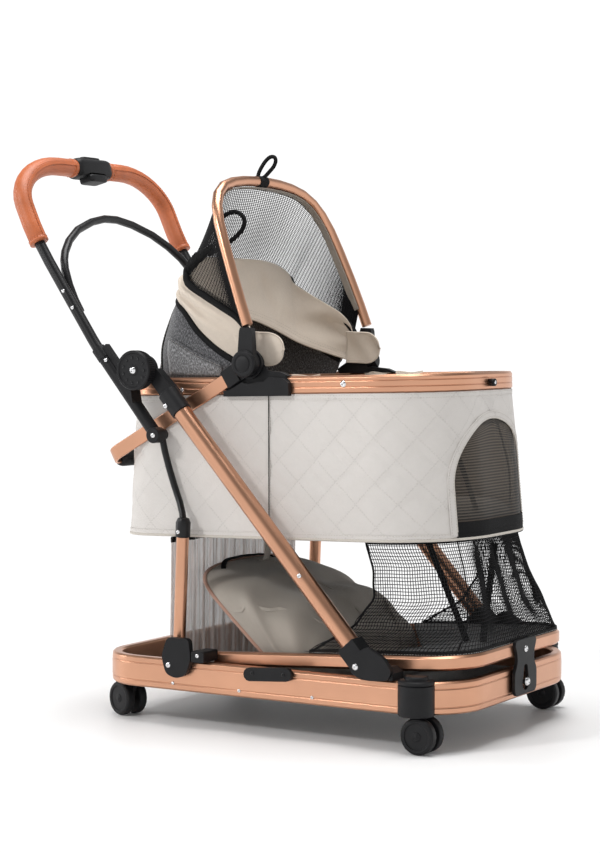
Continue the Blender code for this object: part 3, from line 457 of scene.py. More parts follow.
def parts(n):
    """From 0 to 1 in n even steps."""
    return [i / n for i in range(n + 1)]


def thicken(obj, thickness, offset=-1.0):
    mod = obj.modifiers.new("thickness", "SOLIDIFY")
    mod.thickness = thickness
    mod.offset = offset
    return obj


def spline(points, per):
    """A smooth curve through the points, `per` steps from each to the next."""
    pts = [Vector(p) for p in points]
    pts = [pts[0] * 2 - pts[1]] + pts + [pts[-1] * 2 - pts[-2]]
    out = []
    for p0, p1, p2, p3 in zip(pts, pts[1:], pts[2:], pts[3:]):
        for t in (k / per for k in range(per)):
            out.append(0.5 * ((2 * p1) + (p2 - p0) * t + (2 * p0 - 5 * p1 + 4 * p2 - p3) * t * t
                              + (3 * p1 - p0 - 3 * p2 + p3) * t ** 3))
    return out + [pts[-2]]


def resample(points, step):
    """Even points along a path."""
    out, carry = [points[0]], 0.0
    for a, b in zip(points, points[1:]):
        length = (b - a).length
        if length < 1e-9:
            continue
        d = step - carry
        while d <= length:
            out.append(a.lerp(b, d / length))
            d += step
        carry = length - (d - step)
    return out


def frames(path, up=None, closed=False):
    """(tangent, side, normal) along a path."""
    n = len(path)
    result, normal = [], None
    for i in range(n):
        a = path[(i - 1) % n] if closed or i else path[0]
        b = path[(i + 1) % n] if closed or i < n - 1 else path[-1]
        t = (b - a).normalized()
        hint = (up(i) if callable(up) else Vector(up)) if up is not None else normal
        if hint is None:
            hint = Vector((0, 0, 1)) if abs(t.z) < 0.9 else Vector((1, 0, 0))
        normal = (hint - t * t.dot(hint)).normalized()
        result.append((t, t.cross(normal).normalized(), normal))
    return result


def sweep(name, path, profile, up=None, closed=False):
    """Sweeps (side, normal) profile points along a path; cloth coordinates run along it."""
    path = [Vector(p) for p in path]
    rows = []
    for p, (_, side, normal) in zip(path, frames(path, up, closed)):
        rows.append([p + side * a + normal * b for a, b in profile])
    if closed:
        rows.append(rows[0])
    n, last = len(profile), len(rows) - 1
    faces = []
    for j in range(last):
        for i in range(n):
            k = (i + 1) % n
            faces.append((j * n + i, (j + 1) * n + i, (j + 1) * n + k, j * n + k))
    if not closed:
        faces.append(tuple(range(n)))
        faces.append(tuple(last * n + i for i in reversed(range(n))))
    rim = [0.0]
    for a, b in zip(profile, profile[1:]):
        rim.append(rim[-1] + math.hypot(b[0] - a[0], b[1] - a[1]))
    uvs = [(x, y) for y in lengths([row[0] for row in rows]) for x in rim]
    obj = mesh_object(name, flat_list(rows), faces, uvs)
    if closed:
        rework(obj, lambda bm: bmesh.ops.remove_doubles(bm, verts=bm.verts, dist=1e-5))
    return obj


def cord(name, path, radius, n, mat, body, closed=False):
    """A round cord along a path, or a ring."""
    angles = [2 * math.pi * i / n for i in range(n)]
    profile = [(radius * math.cos(a), radius * math.sin(a)) for a in angles]
    return finish(sweep(name, path, profile, closed=closed), mat, body)


def tape(name, path, up, width, thick, mat, body):
    """A flat strip: `up` is the direction its face looks."""
    w, t = width / 2, thick / 2
    e = min(t, w) * 0.6
    profile = [(-w, -t + e), (-w + e, -t), (w - e, -t), (w, -t + e), (w, t - e), (w - e, t), (-w + e, t),
               (-w, t - e)]
    return finish(sweep(name, path, profile, up), mat, body, smooth=False)


def circle(axis, hint, radius, angles):
    """Offsets round an axis, the first one towards the hint."""
    ref = Vector(hint) if abs(axis.dot(Vector(hint))) < 0.9 else Vector((1, 0, 0))
    u = (ref - axis * axis.dot(ref)).normalized()
    v = axis.cross(u)
    return [(u * math.cos(a) + v * math.sin(a)) * radius for a in angles]


def lathe(name, profile, centre, axis, n, mat, body, slot=None):
    """Turns (radius, distance) points about an axis."""
    axis = Vector(axis).normalized()
    rows = []
    for r, d in profile:
        spin = circle(axis, (0, 0, 1), max(r, 1e-5), [2 * math.pi * i / n for i in range(n)])
        rows.append([Vector(centre) + axis * d + q for q in spin])
    obj = mesh_object(name, flat_list(rows), quads(len(rows), n, True))
    rework(obj, lambda bm: close_up(bm, 1e-4))
    return finish(obj, mat, body, slot)


def screw(name, centre, axis, radius, body, mat="steel"):
    """A domed screw with a round drive recess, standing on a surface."""
    r = radius
    profile = [(r * 1.02, -0.0004), (r * 1.02, 0.0002), (r * 0.96, 0.0007), (r * 0.75, r * 0.34),
               (r * 0.45, r * 0.45), (r * 0.38, r * 0.44), (r * 0.34, r * 0.12), (0, r * 0.10)]
    lathe(name, profile, centre, axis, 20, mat, body, "steel")


def stitches(name, path, up, mat, body, length=0.0032, gap=0.0020, radius=0.00035, slot=None):
    """A row of short raised stitches along a path."""
    lift = 0.0003
    pts = resample([Vector(p) for p in path], STITCH_STEP)
    fr = frames(pts, up)
    run, end = 0.0, round(length / STITCH_STEP)
    verts, faces = [], []
    while end < len(pts):
        start = round(run / STITCH_STEP)
        base = len(verts)
        for j, wide, high in ((start, 0.3, 0.0), ((start + end) // 2, 1.0, 1.0), (end, 0.3, 0.0)):
            _, side, normal = fr[j]
            c = pts[j] + normal * (lift * high)
            for ca, sa in ((1, 0), (0, 1), (-1, 0), (0, -1)):
                verts.append(c + side * (radius * ca * wide) + normal * (radius * sa * wide))
        for row in (base, base + 4):
            for k in range(4):
                m = (k + 1) % 4
                faces.append((row + k, row + m, row + 4 + m, row + 4 + k))
        faces.append((base + 3, base + 2, base + 1, base))
        faces.append((base + 8, base + 9, base + 10, base + 11))
        run += length + gap
        end = round((run + length) / STITCH_STEP)
    finish(mesh_object(name, verts, faces), mat, body, slot)


def net(name, rows, wire, mat, body=None):
    """An open net: each edge of the sheet's grid becomes a thread."""
    obj = surface(name, rows, uv=False)
    mod = obj.modifiers.new("threads", "WIREFRAME")
    mod.thickness = wire
    mod.use_even_offset = False
    mod.use_boundary = True
    return finish(obj, mat, body, smooth=False)


def lerp(a, b, t):
    return a + (b - a) * t


def level_out(p, middle):
    """The level direction from a middle point to p, as long as they are apart."""
    return Vector((p.x - middle.x, p.y, 0))


def table(stops, t):
    """Reads a smooth curve through (t, value) stops."""
    if t <= stops[0][0]:
        return stops[0][1]
    for (t0, v0), (t1, v1) in zip(stops, stops[1:]):
        if t <= t1:
            k = (t - t0) / (t1 - t0)
            return v0 + (v1 - v0) * k * k * (3 - 2 * k)
    return stops[-1][1]


def ripple(x, y, z, scale, amount, seed=0.0):
    return amount * noise.noise(Vector((x * scale + seed, y * scale, z * scale)))


# ---------------------------------------------------------------- CAD parts: rounding and materials
def dress_cad():
    """Smooth shading, slightly rounded edges and the finished material on each CAD node that shows."""
    slots = {s["node"]: s["material_slot"] for s in frame["record"]["subparts"]}
    width = {"handle_control": 0.0010, "latch_strap": 0.0008, "carry_grip": 0.0015}
    for name, obj in NODES.items():
        mesh = obj.data
        if "custom_normal" in mesh.attributes:
            mesh.attributes.remove(mesh.attributes["custom_normal"])
        mesh.shade_smooth()
        mesh.materials.clear()
        mesh.materials.append(MATS[slots[name]])
        join = obj.modifiers.new("join", "WELD")
        join.merge_threshold = 0.00002
        flat = obj.modifiers.new("flat", "DECIMATE")
        flat.decimate_type = "DISSOLVE"
        flat.angle_limit = math.radians(0.6)
        edge = obj.modifiers.new("edge", "BEVEL")
        edge.width = width.get(name, 0.0006)
        edge.segments = 2
        edge.limit_method = "ANGLE"
        edge.angle_limit = math.radians(34)
        edge.harden_normals = True
        edge.use_clamp_overlap = True


dress_cad()


# ---------------------------------------------------------------- tub
RING_XR, RING_XF, RING_W, RING_RR, RING_RF = -0.325, 0.312, 0.1955, 0.070, 0.135
RING_Z0, RING_Z1, TUB_Z0 = 0.5795, 0.6105, 0.3310
WIN_HALF, WIN_Z0, WIN_Z1, WIN_RISE = 0.128, 0.345, 0.420, 0.113
DIAMOND, FRONT_HALF = 0.075, 0.15         # the quilting's diamonds, and where the tub's front half starts


def plan(xr, xf, w, rr, rf, n=14):
    """A closed plan outline from the middle of the rear, with straight sides and round corners."""
    pts = [(xr, 0.0)]
    for cx, cy, r, start in ((xr + rr, -w + rr, rr, 180), (xf - rf, -w + rf, rf, 270),
                             (xf - rf, w - rf, rf, 0), (xr + rr, w - rr, rr, 90)):
        for i in range(n):
            a = math.radians(start + 90 * i / (n - 1))
            pts.append((cx + r * math.cos(a), cy + r * math.sin(a)))
    return pts


def even(pts, count, closed=True):
    """The outline at even steps, with its corners kept in place."""
    loop = [Vector((x, y, 0)) for x, y in pts]
    if closed:
        return spaced(loop + [loop[0]], count, count)
    return spaced(loop, count, count - 1)


def tub_plan(z, out=0.0):
    k = (RING_Z0 - z) / (RING_Z0 - TUB_Z0)
    return plan(RING_XR + 0.002 - 0.017 * k - out, RING_XF - 0.002 + 0.020 * k + out,
                RING_W - 0.002 + 0.0085 * k + out, RING_RR + out, RING_RF + 0.020 * k + out)


def tub_front(y, z, out=0.0):
    """The tub's front face: x for a height and a distance from the middle."""
    k = (RING_Z0 - z) / (RING_Z0 - TUB_Z0)
    xf, w, r = RING_XF - 0.002 + 0.020 * k + out, RING_W - 0.002 + 0.0085 * k + out, RING_RF + 0.020 * k + out
    side = max(0.0, abs(y) - (w - r))
    return xf - r + math.sqrt(max(0.0, r * r - side * side))


def in_window(y, z, grow=0.0):
    if z < WIN_Z0 - grow or abs(y) > WIN_HALF + grow:
        return False
    return z < WIN_Z1 or (y / (WIN_HALF + grow)) ** 2 + ((z - WIN_Z1) / (WIN_RISE + grow)) ** 2 < 1


def window_outline(grow, low):
    """(y, z) from the lower right corner over the arch to the lower left."""
    half, rise, n = WIN_HALF + grow, WIN_RISE + grow, 30
    pts = [(-half, low + (WIN_Z1 - low) * i / 6) for i in range(6)]
    angles = [math.pi * i / n for i in range(n + 1)]
    pts += [(-half * math.cos(a), WIN_Z1 + rise * math.sin(a)) for a in angles]
    pts += [(half, low + (WIN_Z1 - low) * i / 6) for i in reversed(range(6))]
    return pts


def make_tub_wall():
    """The quilted wall, with the window's arch cut out of its front."""
    count, levels, girth = 300, 44, 1.78
    rows, wall = [], []
    for j in range(levels + 1):
        v = j / levels
        z = RING_Z0 + 0.0005 - (RING_Z0 - TUB_Z0 - 0.002) * v
        row = []
        for i, p in enumerate(even(tub_plan(z), count)):
            s = i / count * girth
            a, b = (abs(math.sin(math.pi * way / DIAMOND)) for way in (s + z, s - z))
            puff = 0.0022 * min(1.0, 2.0 * min(a, b)) ** 0.7
            puff += ripple(p.x, p.y, z, 9.0, 0.0016) + ripple(p.x, p.y, z, 26.0, 0.0005, 4.0)
            keep = math.sin(math.pi * min(1.0, max(0.0, v))) ** 0.35
            out = Vector((p.x, p.y, 0)).normalized()
            row.append(Vector((p.x, p.y, z)) + out * (puff * keep))
        wall.append(row)
        rows.append([C(*q) for q in row])
    obj = surface("tub_wall", [row + [row[0]] for row in rows])
    flat = [q for row in wall for q in row + [row[0]]]

    def cut_window(bm):
        """Takes the window out and draws the cut edge on to the arch."""
        spot = dict(zip(bm.verts, flat))
        gone = [f for f in bm.faces
                if all(spot[v].x > FRONT_HALF and in_window(spot[v].y, spot[v].z) for v in f.verts)]
        bmesh.ops.delete(bm, geom=gone, context="FACES")
        for v in [v for v in bm.verts if v.is_boundary]:
            y, z = spot[v].y, spot[v].z
            if WIN_Z0 - 0.012 < z < 0.56 and spot[v].x > FRONT_HALF and abs(y) < WIN_HALF + 0.012:
                if z < WIN_Z1:
                    y = math.copysign(WIN_HALF, y) if z > WIN_Z0 + 0.003 else y
                else:
                    a = math.atan2((z - WIN_Z1) / WIN_RISE, y / WIN_HALF)
                    y, z = WIN_HALF * math.cos(a), WIN_Z1 + WIN_RISE * math.sin(a)
                v.co = C(tub_front(y, z, 0.0005), y, z)
        close_up(bm, 1e-6)

    rework(obj, cut_window)
    finish(thicken(obj, 0.0016), "tub_fabric", "carrier")
    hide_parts("carrier_tub")


def make_tub_lining():
    """Inner lining, a little inside the wall."""
    rows = []
    for z in (RING_Z0 - 0.001, 0.52, 0.46, 0.40, 0.352):
        rows.append([C(p.x, p.y, z) for p in even(tub_plan(z, -0.006), 120)])
    rows = [[row[i] for i in range(120)] + [row[0]] for row in rows]
    lining = surface("tub_lining", rows)

    def cut_window(bm):
        middles = [(f, f.calc_center_median()) for f in bm.faces]
        gone = [f for f, m in middles if m.x > FRONT_HALF + SHIFT and abs(m.y) < WIN_HALF and m.z < 0.535]
        bmesh.ops.delete(bm, geom=gone, context="FACES")

    rework(lining, cut_window)
    finish(thicken(lining, 0.0010, 1.0), "canopy_fabric", "carrier")


def make_tub_floor():
    """Firm floor of the tub, and its under side."""
    base = [C(p.x, p.y, TUB_Z0 + 0.0012) for p in even(tub_plan(TUB_Z0, -0.003), 120)]
    top = [C(p.x, p.y, TUB_Z0 + 0.0100) for p in even(tub_plan(TUB_Z0, -0.006), 120)]
    n = len(base)
    faces = [(i, (i + 1) % n, n + (i + 1) % n, n + i) for i in range(n)]
    faces += [tuple(reversed(range(n))), tuple(range(n, 2 * n))]
    finish(mesh_object("tub_floor", base + top, faces), "webbing", "carrier", smooth=False)


def make_tub_trim():
    """Top hem, bottom hem, piping and side seams."""
    for name, z, width in (("top_hem", RING_Z0 - 0.0055, 0.0100), ("bottom_hem", TUB_Z0 + 0.0075, 0.0090)):
        path = [C(p.x, p.y, z) for p in even(tub_plan(z, 0.0012), 200)]
        if name == "bottom_hem":
            run = [i for i, p in enumerate(path) if p.x <= 0.2 + SHIFT or abs(p.y) >= WIN_HALF + 0.004]
            cut_at = next(k for k in range(len(run) - 1) if run[k + 1] - run[k] > 1)
            order = run[cut_at + 1:] + run[:cut_at + 1]
        else:
            order = list(range(200)) + [0]
        pts = [path[i] for i in order]
        outs = [level_out(p, C(0, 0, z)) for p in pts]
        tape(name, pts, outs.__getitem__, width, 0.0010, "tub_fabric", "carrier")
        for shift in (-0.0030, 0.0030):
            row = [p + Vector((0, 0, shift)) + o.normalized() * 0.0008 for p, o in zip(pts, outs)]
            stitches(name + "_stitches_%d" % (shift > 0), row, outs[0], "thread", "carrier", radius=0.0003)
    path = [C(p.x, p.y, TUB_Z0 + 0.0022) for p in even(tub_plan(TUB_Z0, 0.0004), 200)]
    cord("tub_piping", path, 0.0026, 8, "hem_piping", "carrier", closed=True)
    for side, sign in SIDES:
        path = [C(-0.013, sign * (0.1942 + 0.0085 * (RING_Z0 - z) / (RING_Z0 - TUB_Z0)), z)
                for z in (0.3345, 0.39, 0.45, 0.51, 0.5785)]
        tape("tub_seam_" + side, spline(path, 6), (0, sign, 0), 0.0070, 0.0010, "tub_fabric", "carrier")
        line = [p + Vector((0, sign * 0.0030, 0)) for p in spline(path, 6)]
        cord("tub_seam_line_" + side, line, 0.0009, 8, "webbing", "carrier")
        for shift in (-0.0024, 0.0024):
            row = [p + Vector((shift, sign * 0.0007, 0)) for p in spline(path, 6)]
            stitches("tub_seam_stitches_%s_%d" % (side, shift > 0), row, (0, sign, 0), "thread", "carrier")


def make_window():
    """Fine screen in the front arch, its binding, the black band under it and the strap inside."""
    nz, ny = 34, 36
    rows = []
    for j in range(nz + 1):
        z = WIN_Z0 + (WIN_Z1 + WIN_RISE - 0.0005 - WIN_Z0) * j / nz
        half = WIN_HALF if z < WIN_Z1 else WIN_HALF * math.sqrt(max(0.0, 1 - ((z - WIN_Z1) / WIN_RISE) ** 2))
        row = []
        for i in range(ny + 1):
            y = half * (2 * i / ny - 1)
            out = -0.0010 + 0.0016 * math.sin(math.pi * i / ny * 3) * math.sin(math.pi * j / nz)
            row.append(C(tub_front(y, z, out), y, z))
        rows.append(row)
    screen = finish(surface("window_screen", rows), "window_screen", "carrier", slot="canopy_mesh")

    def on_arch(grow, out, low):
        return [C(tub_front(y, z, out), y, z) for y, z in window_outline(grow, low)]

    def look(pts_yz):
        faces = []
        for y, z in pts_yz:
            slope = (tub_front(y + 0.002, z) - tub_front(y - 0.002, z)) / 0.004
            faces.append(Vector((1.0, -slope, 0.08)).normalized())
        return faces

    faces = look(window_outline(0.004, 0.338))
    tape("window_binding", on_arch(0.005, 0.0022, 0.338), faces.__getitem__, 0.0130, 0.0016,
         "tub_fabric", "carrier")
    cord("window_edge", on_arch(-0.0010, 0.0018, 0.345), 0.0012, 8, "hem_piping", "carrier")
    for k, grow in enumerate((0.0015, 0.0090)):
        stitches("window_stitches_%d" % k, on_arch(grow, 0.0034, 0.338), (1, 0, 0), "thread", "carrier",
                 length=0.0030, gap=0.0018)
    across = [WIN_HALF * (2 * i / 24 - 1) for i in range(25)]
    faces = look([(y, 0.3525) for y in across])
    for name, z, out, width, thick in (("window_band", 0.3525, 0.0016, 0.0170, 0.0014),
                                       ("window_hem", 0.3370, 0.0010, 0.0150, 0.0012)):
        tape(name, [C(tub_front(y, z, out), y, z) for y in across], faces.__getitem__, width, thick,
             "webbing", "carrier")
    strap = [C(0.290, -0.115, 0.512), C(0.296, -0.080, 0.450), C(0.300, -0.030, 0.366)]
    tape("window_strap", spline(strap, 8), (1, -0.2, 0), 0.0120, 0.0016, "webbing", "carrier")
    strap = [C(0.262, 0.130, 0.520), C(0.285, 0.125, 0.440), C(0.296, 0.105, 0.366)]
    tape("window_strap_left", spline(strap, 8), (1, 0.2, 0), 0.0100, 0.0016, "webbing", "carrier")


CUSHION_POINTS, CUSHION_LOW, CUSHION_GIVE = 72, 0.3432, 0.006


def settled(obj):
    """Puts the object's evaluated mesh in place of its own."""
    graph = bpy.context.evaluated_depsgraph_get()
    obj.data = bpy.data.meshes.new_from_object(obj.evaluated_get(graph))
    obj.modifiers.clear()


def blow_up(obj):
    """Inflates a closed form a little as cloth; no point moves further than CUSHION_GIVE or below the pad."""
    rework(obj, lambda bm: bmesh.ops.triangulate(bm, faces=[f for f in bm.faces if len(f.verts) > 4]))
    bpy.context.view_layer.objects.active = obj
    remesh = obj.modifiers.new("remesh", "REMESH")
    remesh.mode = "VOXEL"
    remesh.voxel_size = 0.006
    settled(obj)
    before = [v.co.copy() for v in obj.data.vertices]
    soft = obj.modifiers.new("soft", "CLOTH")
    soft.settings.use_pressure = True
    soft.settings.uniform_pressure_force = 4.0
    soft.settings.effector_weights.gravity = 0.0
    for frame_no in range(1, 13):
        bpy.context.scene.frame_set(frame_no)
    settled(obj)
    for v, old in zip(obj.data.vertices, before):
        move = v.co - old
        if move.length > CUSHION_GIVE:
            v.co = old + move.normalized() * CUSHION_GIVE
        v.co.z = max(v.co.z, CUSHION_LOW)
    bpy.context.scene.frame_set(1)


def make_cushion():
    """A soft pad on the tub's floor: a crowned closed form, blown up by a cloth simulation in a full run."""
    def ring(inset, z):
        return [C(p.x, p.y, z) for p in even(tub_plan(TUB_Z0, -inset), CUSHION_POINTS)]

    rows = [ring(0.030, 0.3440), ring(0.016, 0.3480), ring(0.012, 0.3580), ring(0.018, 0.3700),
            ring(0.034, 0.3780), ring(0.075, 0.3810), ring(0.120, 0.3825)]
    n = CUSHION_POINTS
    faces = quads(len(rows), n, True)
    faces.append(tuple(reversed(range(n))))
    faces.append(tuple(range((len(rows) - 1) * n, len(rows) * n)))
    obj = mesh_object("cushion", flat_list(rows), faces)
    blow_up(obj)
    finish(obj, "cushion_fabric", "carrier")
    edge = [C(p.x, p.y, 0.3600) for p in even(tub_plan(TUB_Z0, -0.0105), 120)]
    cord("cushion_piping", edge, 0.0022, 8, "piping", "carrier", closed=True)


# ---------------------------------------------------------------- canopy
MID_LEGS = [(-0.0560, 0.6640), (-0.0600, 0.6880), (-0.0800, 0.7120), (-0.1150, 0.7330), (-0.1500, 0.7530)]
REAR_RIGHT = [(-0.0860, -0.1800, 0.6360), (-0.1100, -0.1800, 0.6480), (-0.1400, -0.1800, 0.6680),
              (-0.1700, -0.1800, 0.6950), (-0.1950, -0.1780, 0.7270), (-0.2120, -0.1700, 0.7400),
              (-0.2260, -0.1480, 0.7500), (-0.2330, -0.1100, 0.7560), (-0.2350, -0.0600, 0.7590),
              (-0.2350, 0.0, 0.7600)]
FRONT_BOW = [(0.0, -0.2100), (0.040, -0.2090), (0.090, -0.2050), (0.140, -0.1990), (0.180, -0.1920),
             (0.210, -0.1800), (0.232, -0.1620), (0.248, -0.1350), (0.257, -0.1000), (0.262, -0.0600),
             (0.264, -0.0200), (0.2645, 0.0)]
BOW_FOOT = (-0.0445, 0.6991)


def both(right):
    """A line across the object from its right half, (x, y, z) points ending in the middle."""
    return right + [(x, -y, z) for x, y, z in reversed(right) if y < -1e-6]


def bow_mid():
    pts = [(x, -0.1880 + 0.0016 * i, z) for i, (x, z) in enumerate(MID_LEGS)]
    for a in (0, 18, 36, 54, 72, 90):
        s, c = math.sin(math.radians(a)), math.cos(math.radians(a))
        y = -0.1800 * max(0.0, c) ** 0.6 if a < 90 else 0.0
        pts.append((-0.1850 - 0.0250 * s, y, 0.7750 + 0.0470 * s ** 0.8))
    return pts


def bow_front():
    return [(BOW_FOOT[0] - 0.345 * h - 0.10 * h * h, y, BOW_FOOT[1] + h) for h, y in FRONT_BOW]


def along(points, count):
    """Even points along the full line of a bow, in the carrier's tilt."""
    return spaced(spline([C(*p) for p in both(points)], 6), count, count - 1)


def make_canopy_net():
    """Black net from the middle bow to the front bow."""
    count, rows_n, heart = 110, 52, C(-0.100, 0, 0.740)
    rear, front = along(bow_mid()[1:], count), along(bow_front()[1:], count)

    def drawn_in(p, t, i):
        sag = 0.010 * math.sin(math.pi * t) * math.sin(math.pi * i / (count - 1))
        return p + (heart - p).normalized() * (sag + ripple(p.x, p.y, p.z, 12.0, 0.003))

    rows = between(rear, front, [0.010 + 0.955 * j / rows_n for j in range(rows_n + 1)], drawn_in)
    obj = net("canopy_net", rows, 0.0016, "canopy_mesh")
    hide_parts("canopy_skin")
    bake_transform(obj)


def make_canopy_bows():
    mid, rear, front = along(bow_mid(), 90), along(REAR_RIGHT, 90), along(bow_front(), 120)
    cord("mid_bow_binding", mid, 0.0062, 12, "webbing", "canopy_mid")
    cord("rear_bow_binding", rear, 0.0062, 12, "webbing", "carrier")
    heart = C(-0.130, 0, 0.780)
    inner = [p + (heart - p).normalized() * 0.0125 + Vector((-0.003, 0, 0)) for p in front[4:-4]]
    tape("front_bow_binding", inner, lambda i: heart - inner[i], 0.0150, 0.0018, "piping_taupe",
         "canopy_front")


def make_canopy_back():
    """Heather cloth wall from the ring up to the rear bow, with a stitched pocket."""
    count = 100
    top = along(REAR_RIGHT, count)
    low_plan = plan(-0.3060, 0.30, 0.1755, 0.100, 0.100)
    low_pts = [(-0.0950, -0.1755)] + [p for p in low_plan if p[0] < -0.14 and p[1] < 0][::-1]
    low_pts = low_pts + [(-0.3060, 0.0)] if low_pts[-1][0] > -0.3059 else low_pts
    low_right = even(low_pts, count // 2, closed=False)
    low = [C(p.x, p.y, RING_Z1 + 0.0005) for p in low_right]
    low += [C(p.x, -p.y, RING_Z1 + 0.0005) for p in reversed(low_right)]

    def bulge(p, t, i):
        edge = math.sin(math.pi * (i / (count - 1))) ** 0.5
        out = level_out(p, C(-0.12, 0, 0.65)).normalized()
        p = p + out * (0.016 * math.sin(math.pi * t) ** 0.8 * edge * (0.6 + 0.4 * t))
        return p + out * ripple(p.x, p.y, p.z, 22.0, 0.0035) * math.sin(math.pi * t)

    rows = between(low, top, parts(22), bulge)
    obj = finish(thicken(surface("canopy_wall", rows), 0.0020, 0.0), "grey_fabric", "carrier")
    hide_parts("canopy_back")
    make_pockets(rows)


def make_pockets(rows):
    """Pocket panel on each side of the back wall, its border and its stitches."""
    for side, sign in SIDES:
        pick = [row if sign < 0 else row[::-1] for row in rows]
        panel = []
        for j in range(1, 13):
            panel.append([p + Vector((-0.0008, sign * 0.0022, 0)) for p in pick[j][4:26]])
        obj = finish(thicken(surface("canopy_pocket_" + side, panel), 0.0014, 0.0), "grey_light", "carrier",
                     slot="grey_fabric")
        rim = [p + Vector((-0.001, sign * 0.0035, 0)) for p in panel[-1]]
        tape("pocket_hem_" + side, rim, (0, sign, 0.2), 0.0060, 0.0012, "grey_fabric", "carrier")
        stitches("pocket_stitches_" + side, [p + Vector((0, sign * 0.0010, -0.001)) for p in rim],
                 (0, sign, 0.2),
                 "thread", "carrier")
        seam = [pick[j][30] + Vector((-0.0012, sign * 0.0018, 0)) for j in range(len(rows))]
        tape("canopy_seam_" + side, seam, (-0.4, sign, 0.1), 0.0060, 0.0012, "webbing", "carrier")
        stitches("canopy_seam_stitches_" + side, [p + Vector((-0.0006, sign * 0.0010, 0)) for p in seam],
                 (-0.4, sign, 0.1), "thread", "carrier")


def make_canopy_cloth():
    """Beige cloth between the rear bow and the middle bow, with soft folds."""
    count = 120
    low, top = along(REAR_RIGHT, count), along(bow_mid(), count)

    def folded(p, t, i):
        u = i / (count - 1)
        out = (p - C(-0.10, 0, 0.66)).normalized()
        fold = 0.0045 * math.sin(2 * math.pi * (2.5 * t + 3.0 * u)) + 0.008
        ends = min(1.0, max(0.0, 7 * min(u, 1 - u) - 0.25))
        return p + out * (math.sin(math.pi * t) * ends * (fold + ripple(p.x, p.y, p.z, 30.0, 0.004)))

    rows = between(low, top, parts(24), folded)
    obj = finish(thicken(surface("canopy_cloth", rows), 0.0014, 0.0), "canopy_fabric")
    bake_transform(obj)


def make_canopy_lining():
    """Soft lining that hangs inside from the middle bow down to a hem."""
    count, rows_n = 120, 24
    top = along(bow_mid(), count)
    hem_right = [(-0.056, -0.181, 0.6330), (-0.100, -0.158, 0.650), (-0.140, -0.120, 0.671),
                 (-0.165, -0.060, 0.700),
                 (-0.175, 0.0, 0.715)]
    low = along(hem_right, count)
    top_in = [p + (C(-0.10, 0, 0.70) - p).normalized() * 0.0095 + Vector((0, 0, 0.0125)) for p in top]

    def creased(p, t, i):
        out = (p - C(-0.05, 0, 0.66)).normalized()
        swell = 0.004 * math.sin(2 * math.pi * (1.5 * t + 4.0 * i / count)) + ripple(*p, 24.0, 0.006)
        crease = sum(size * math.exp(-((i / count - 0.5 - at - lean * t) / 0.022) ** 2)
                     for at, lean, size in ((0.10, 0.06, 0.009), (0.22, -0.05, -0.007),
                                            (-0.16, -0.05, 0.008)))
        return p + out * (0.012 + swell + crease) * math.sin(math.pi * t)

    rows = between(top_in, low, parts(rows_n), creased)
    lining = finish(thicken(surface("canopy_lining", rows), 0.0012, 0.0), "canopy_fabric")
    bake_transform(lining)
    rim = [p + Vector((0, 0, -0.0005)) for p in low]
    cord("lining_piping", rim, 0.0018, 8, "canopy_fabric", "carrier")
    for k, t in enumerate((0.90, 0.95)):
        row = rows[int(t * rows_n)]
        stitches("lining_stitches_%d" % k, [p + (C(-0.05, 0, 0.80) - p).normalized() * 0.0012 for p in row],
                 (1, 0, 0.5), "thread", "carrier", radius=0.0004)


def make_canopy_lobes():
    """Rounded ends of the cloth band, just inside the black sockets."""
    for side, sign in SIDES:
        rows = []
        for j in range(15):
            v = -1 + 2 * j / 14
            row = []
            for i in range(29):
                u = i / 28
                past = max(0.0, (u - 0.55) / 0.45)
                half = 0.0275 * math.sqrt(max(0.0, 1 - past ** 2.3)) + 0.0004
                x = -0.070 + 0.073 * u
                y = 0.1740 + 0.0040 * (1 - v * v) * (1 - past) - 0.08 * max(0.0, x + 0.03)
                y += 0.0016 * math.sin(9 * u + 2.5 * v)
                row.append(C(x, sign * y, 0.6600 - 0.004 * u + v * half))
            rows.append(row)
        lobe = finish(thicken(surface("canopy_lobe_" + side, rows), 0.0016, 0.0), "canopy_fabric", "carrier")
        edge = rows[-1] + [row[-1] for row in reversed(rows[1:-1])] + rows[0][::-1]
        cord("lobe_piping_" + side, edge, 0.0017, 8, "canopy_fabric", "carrier")


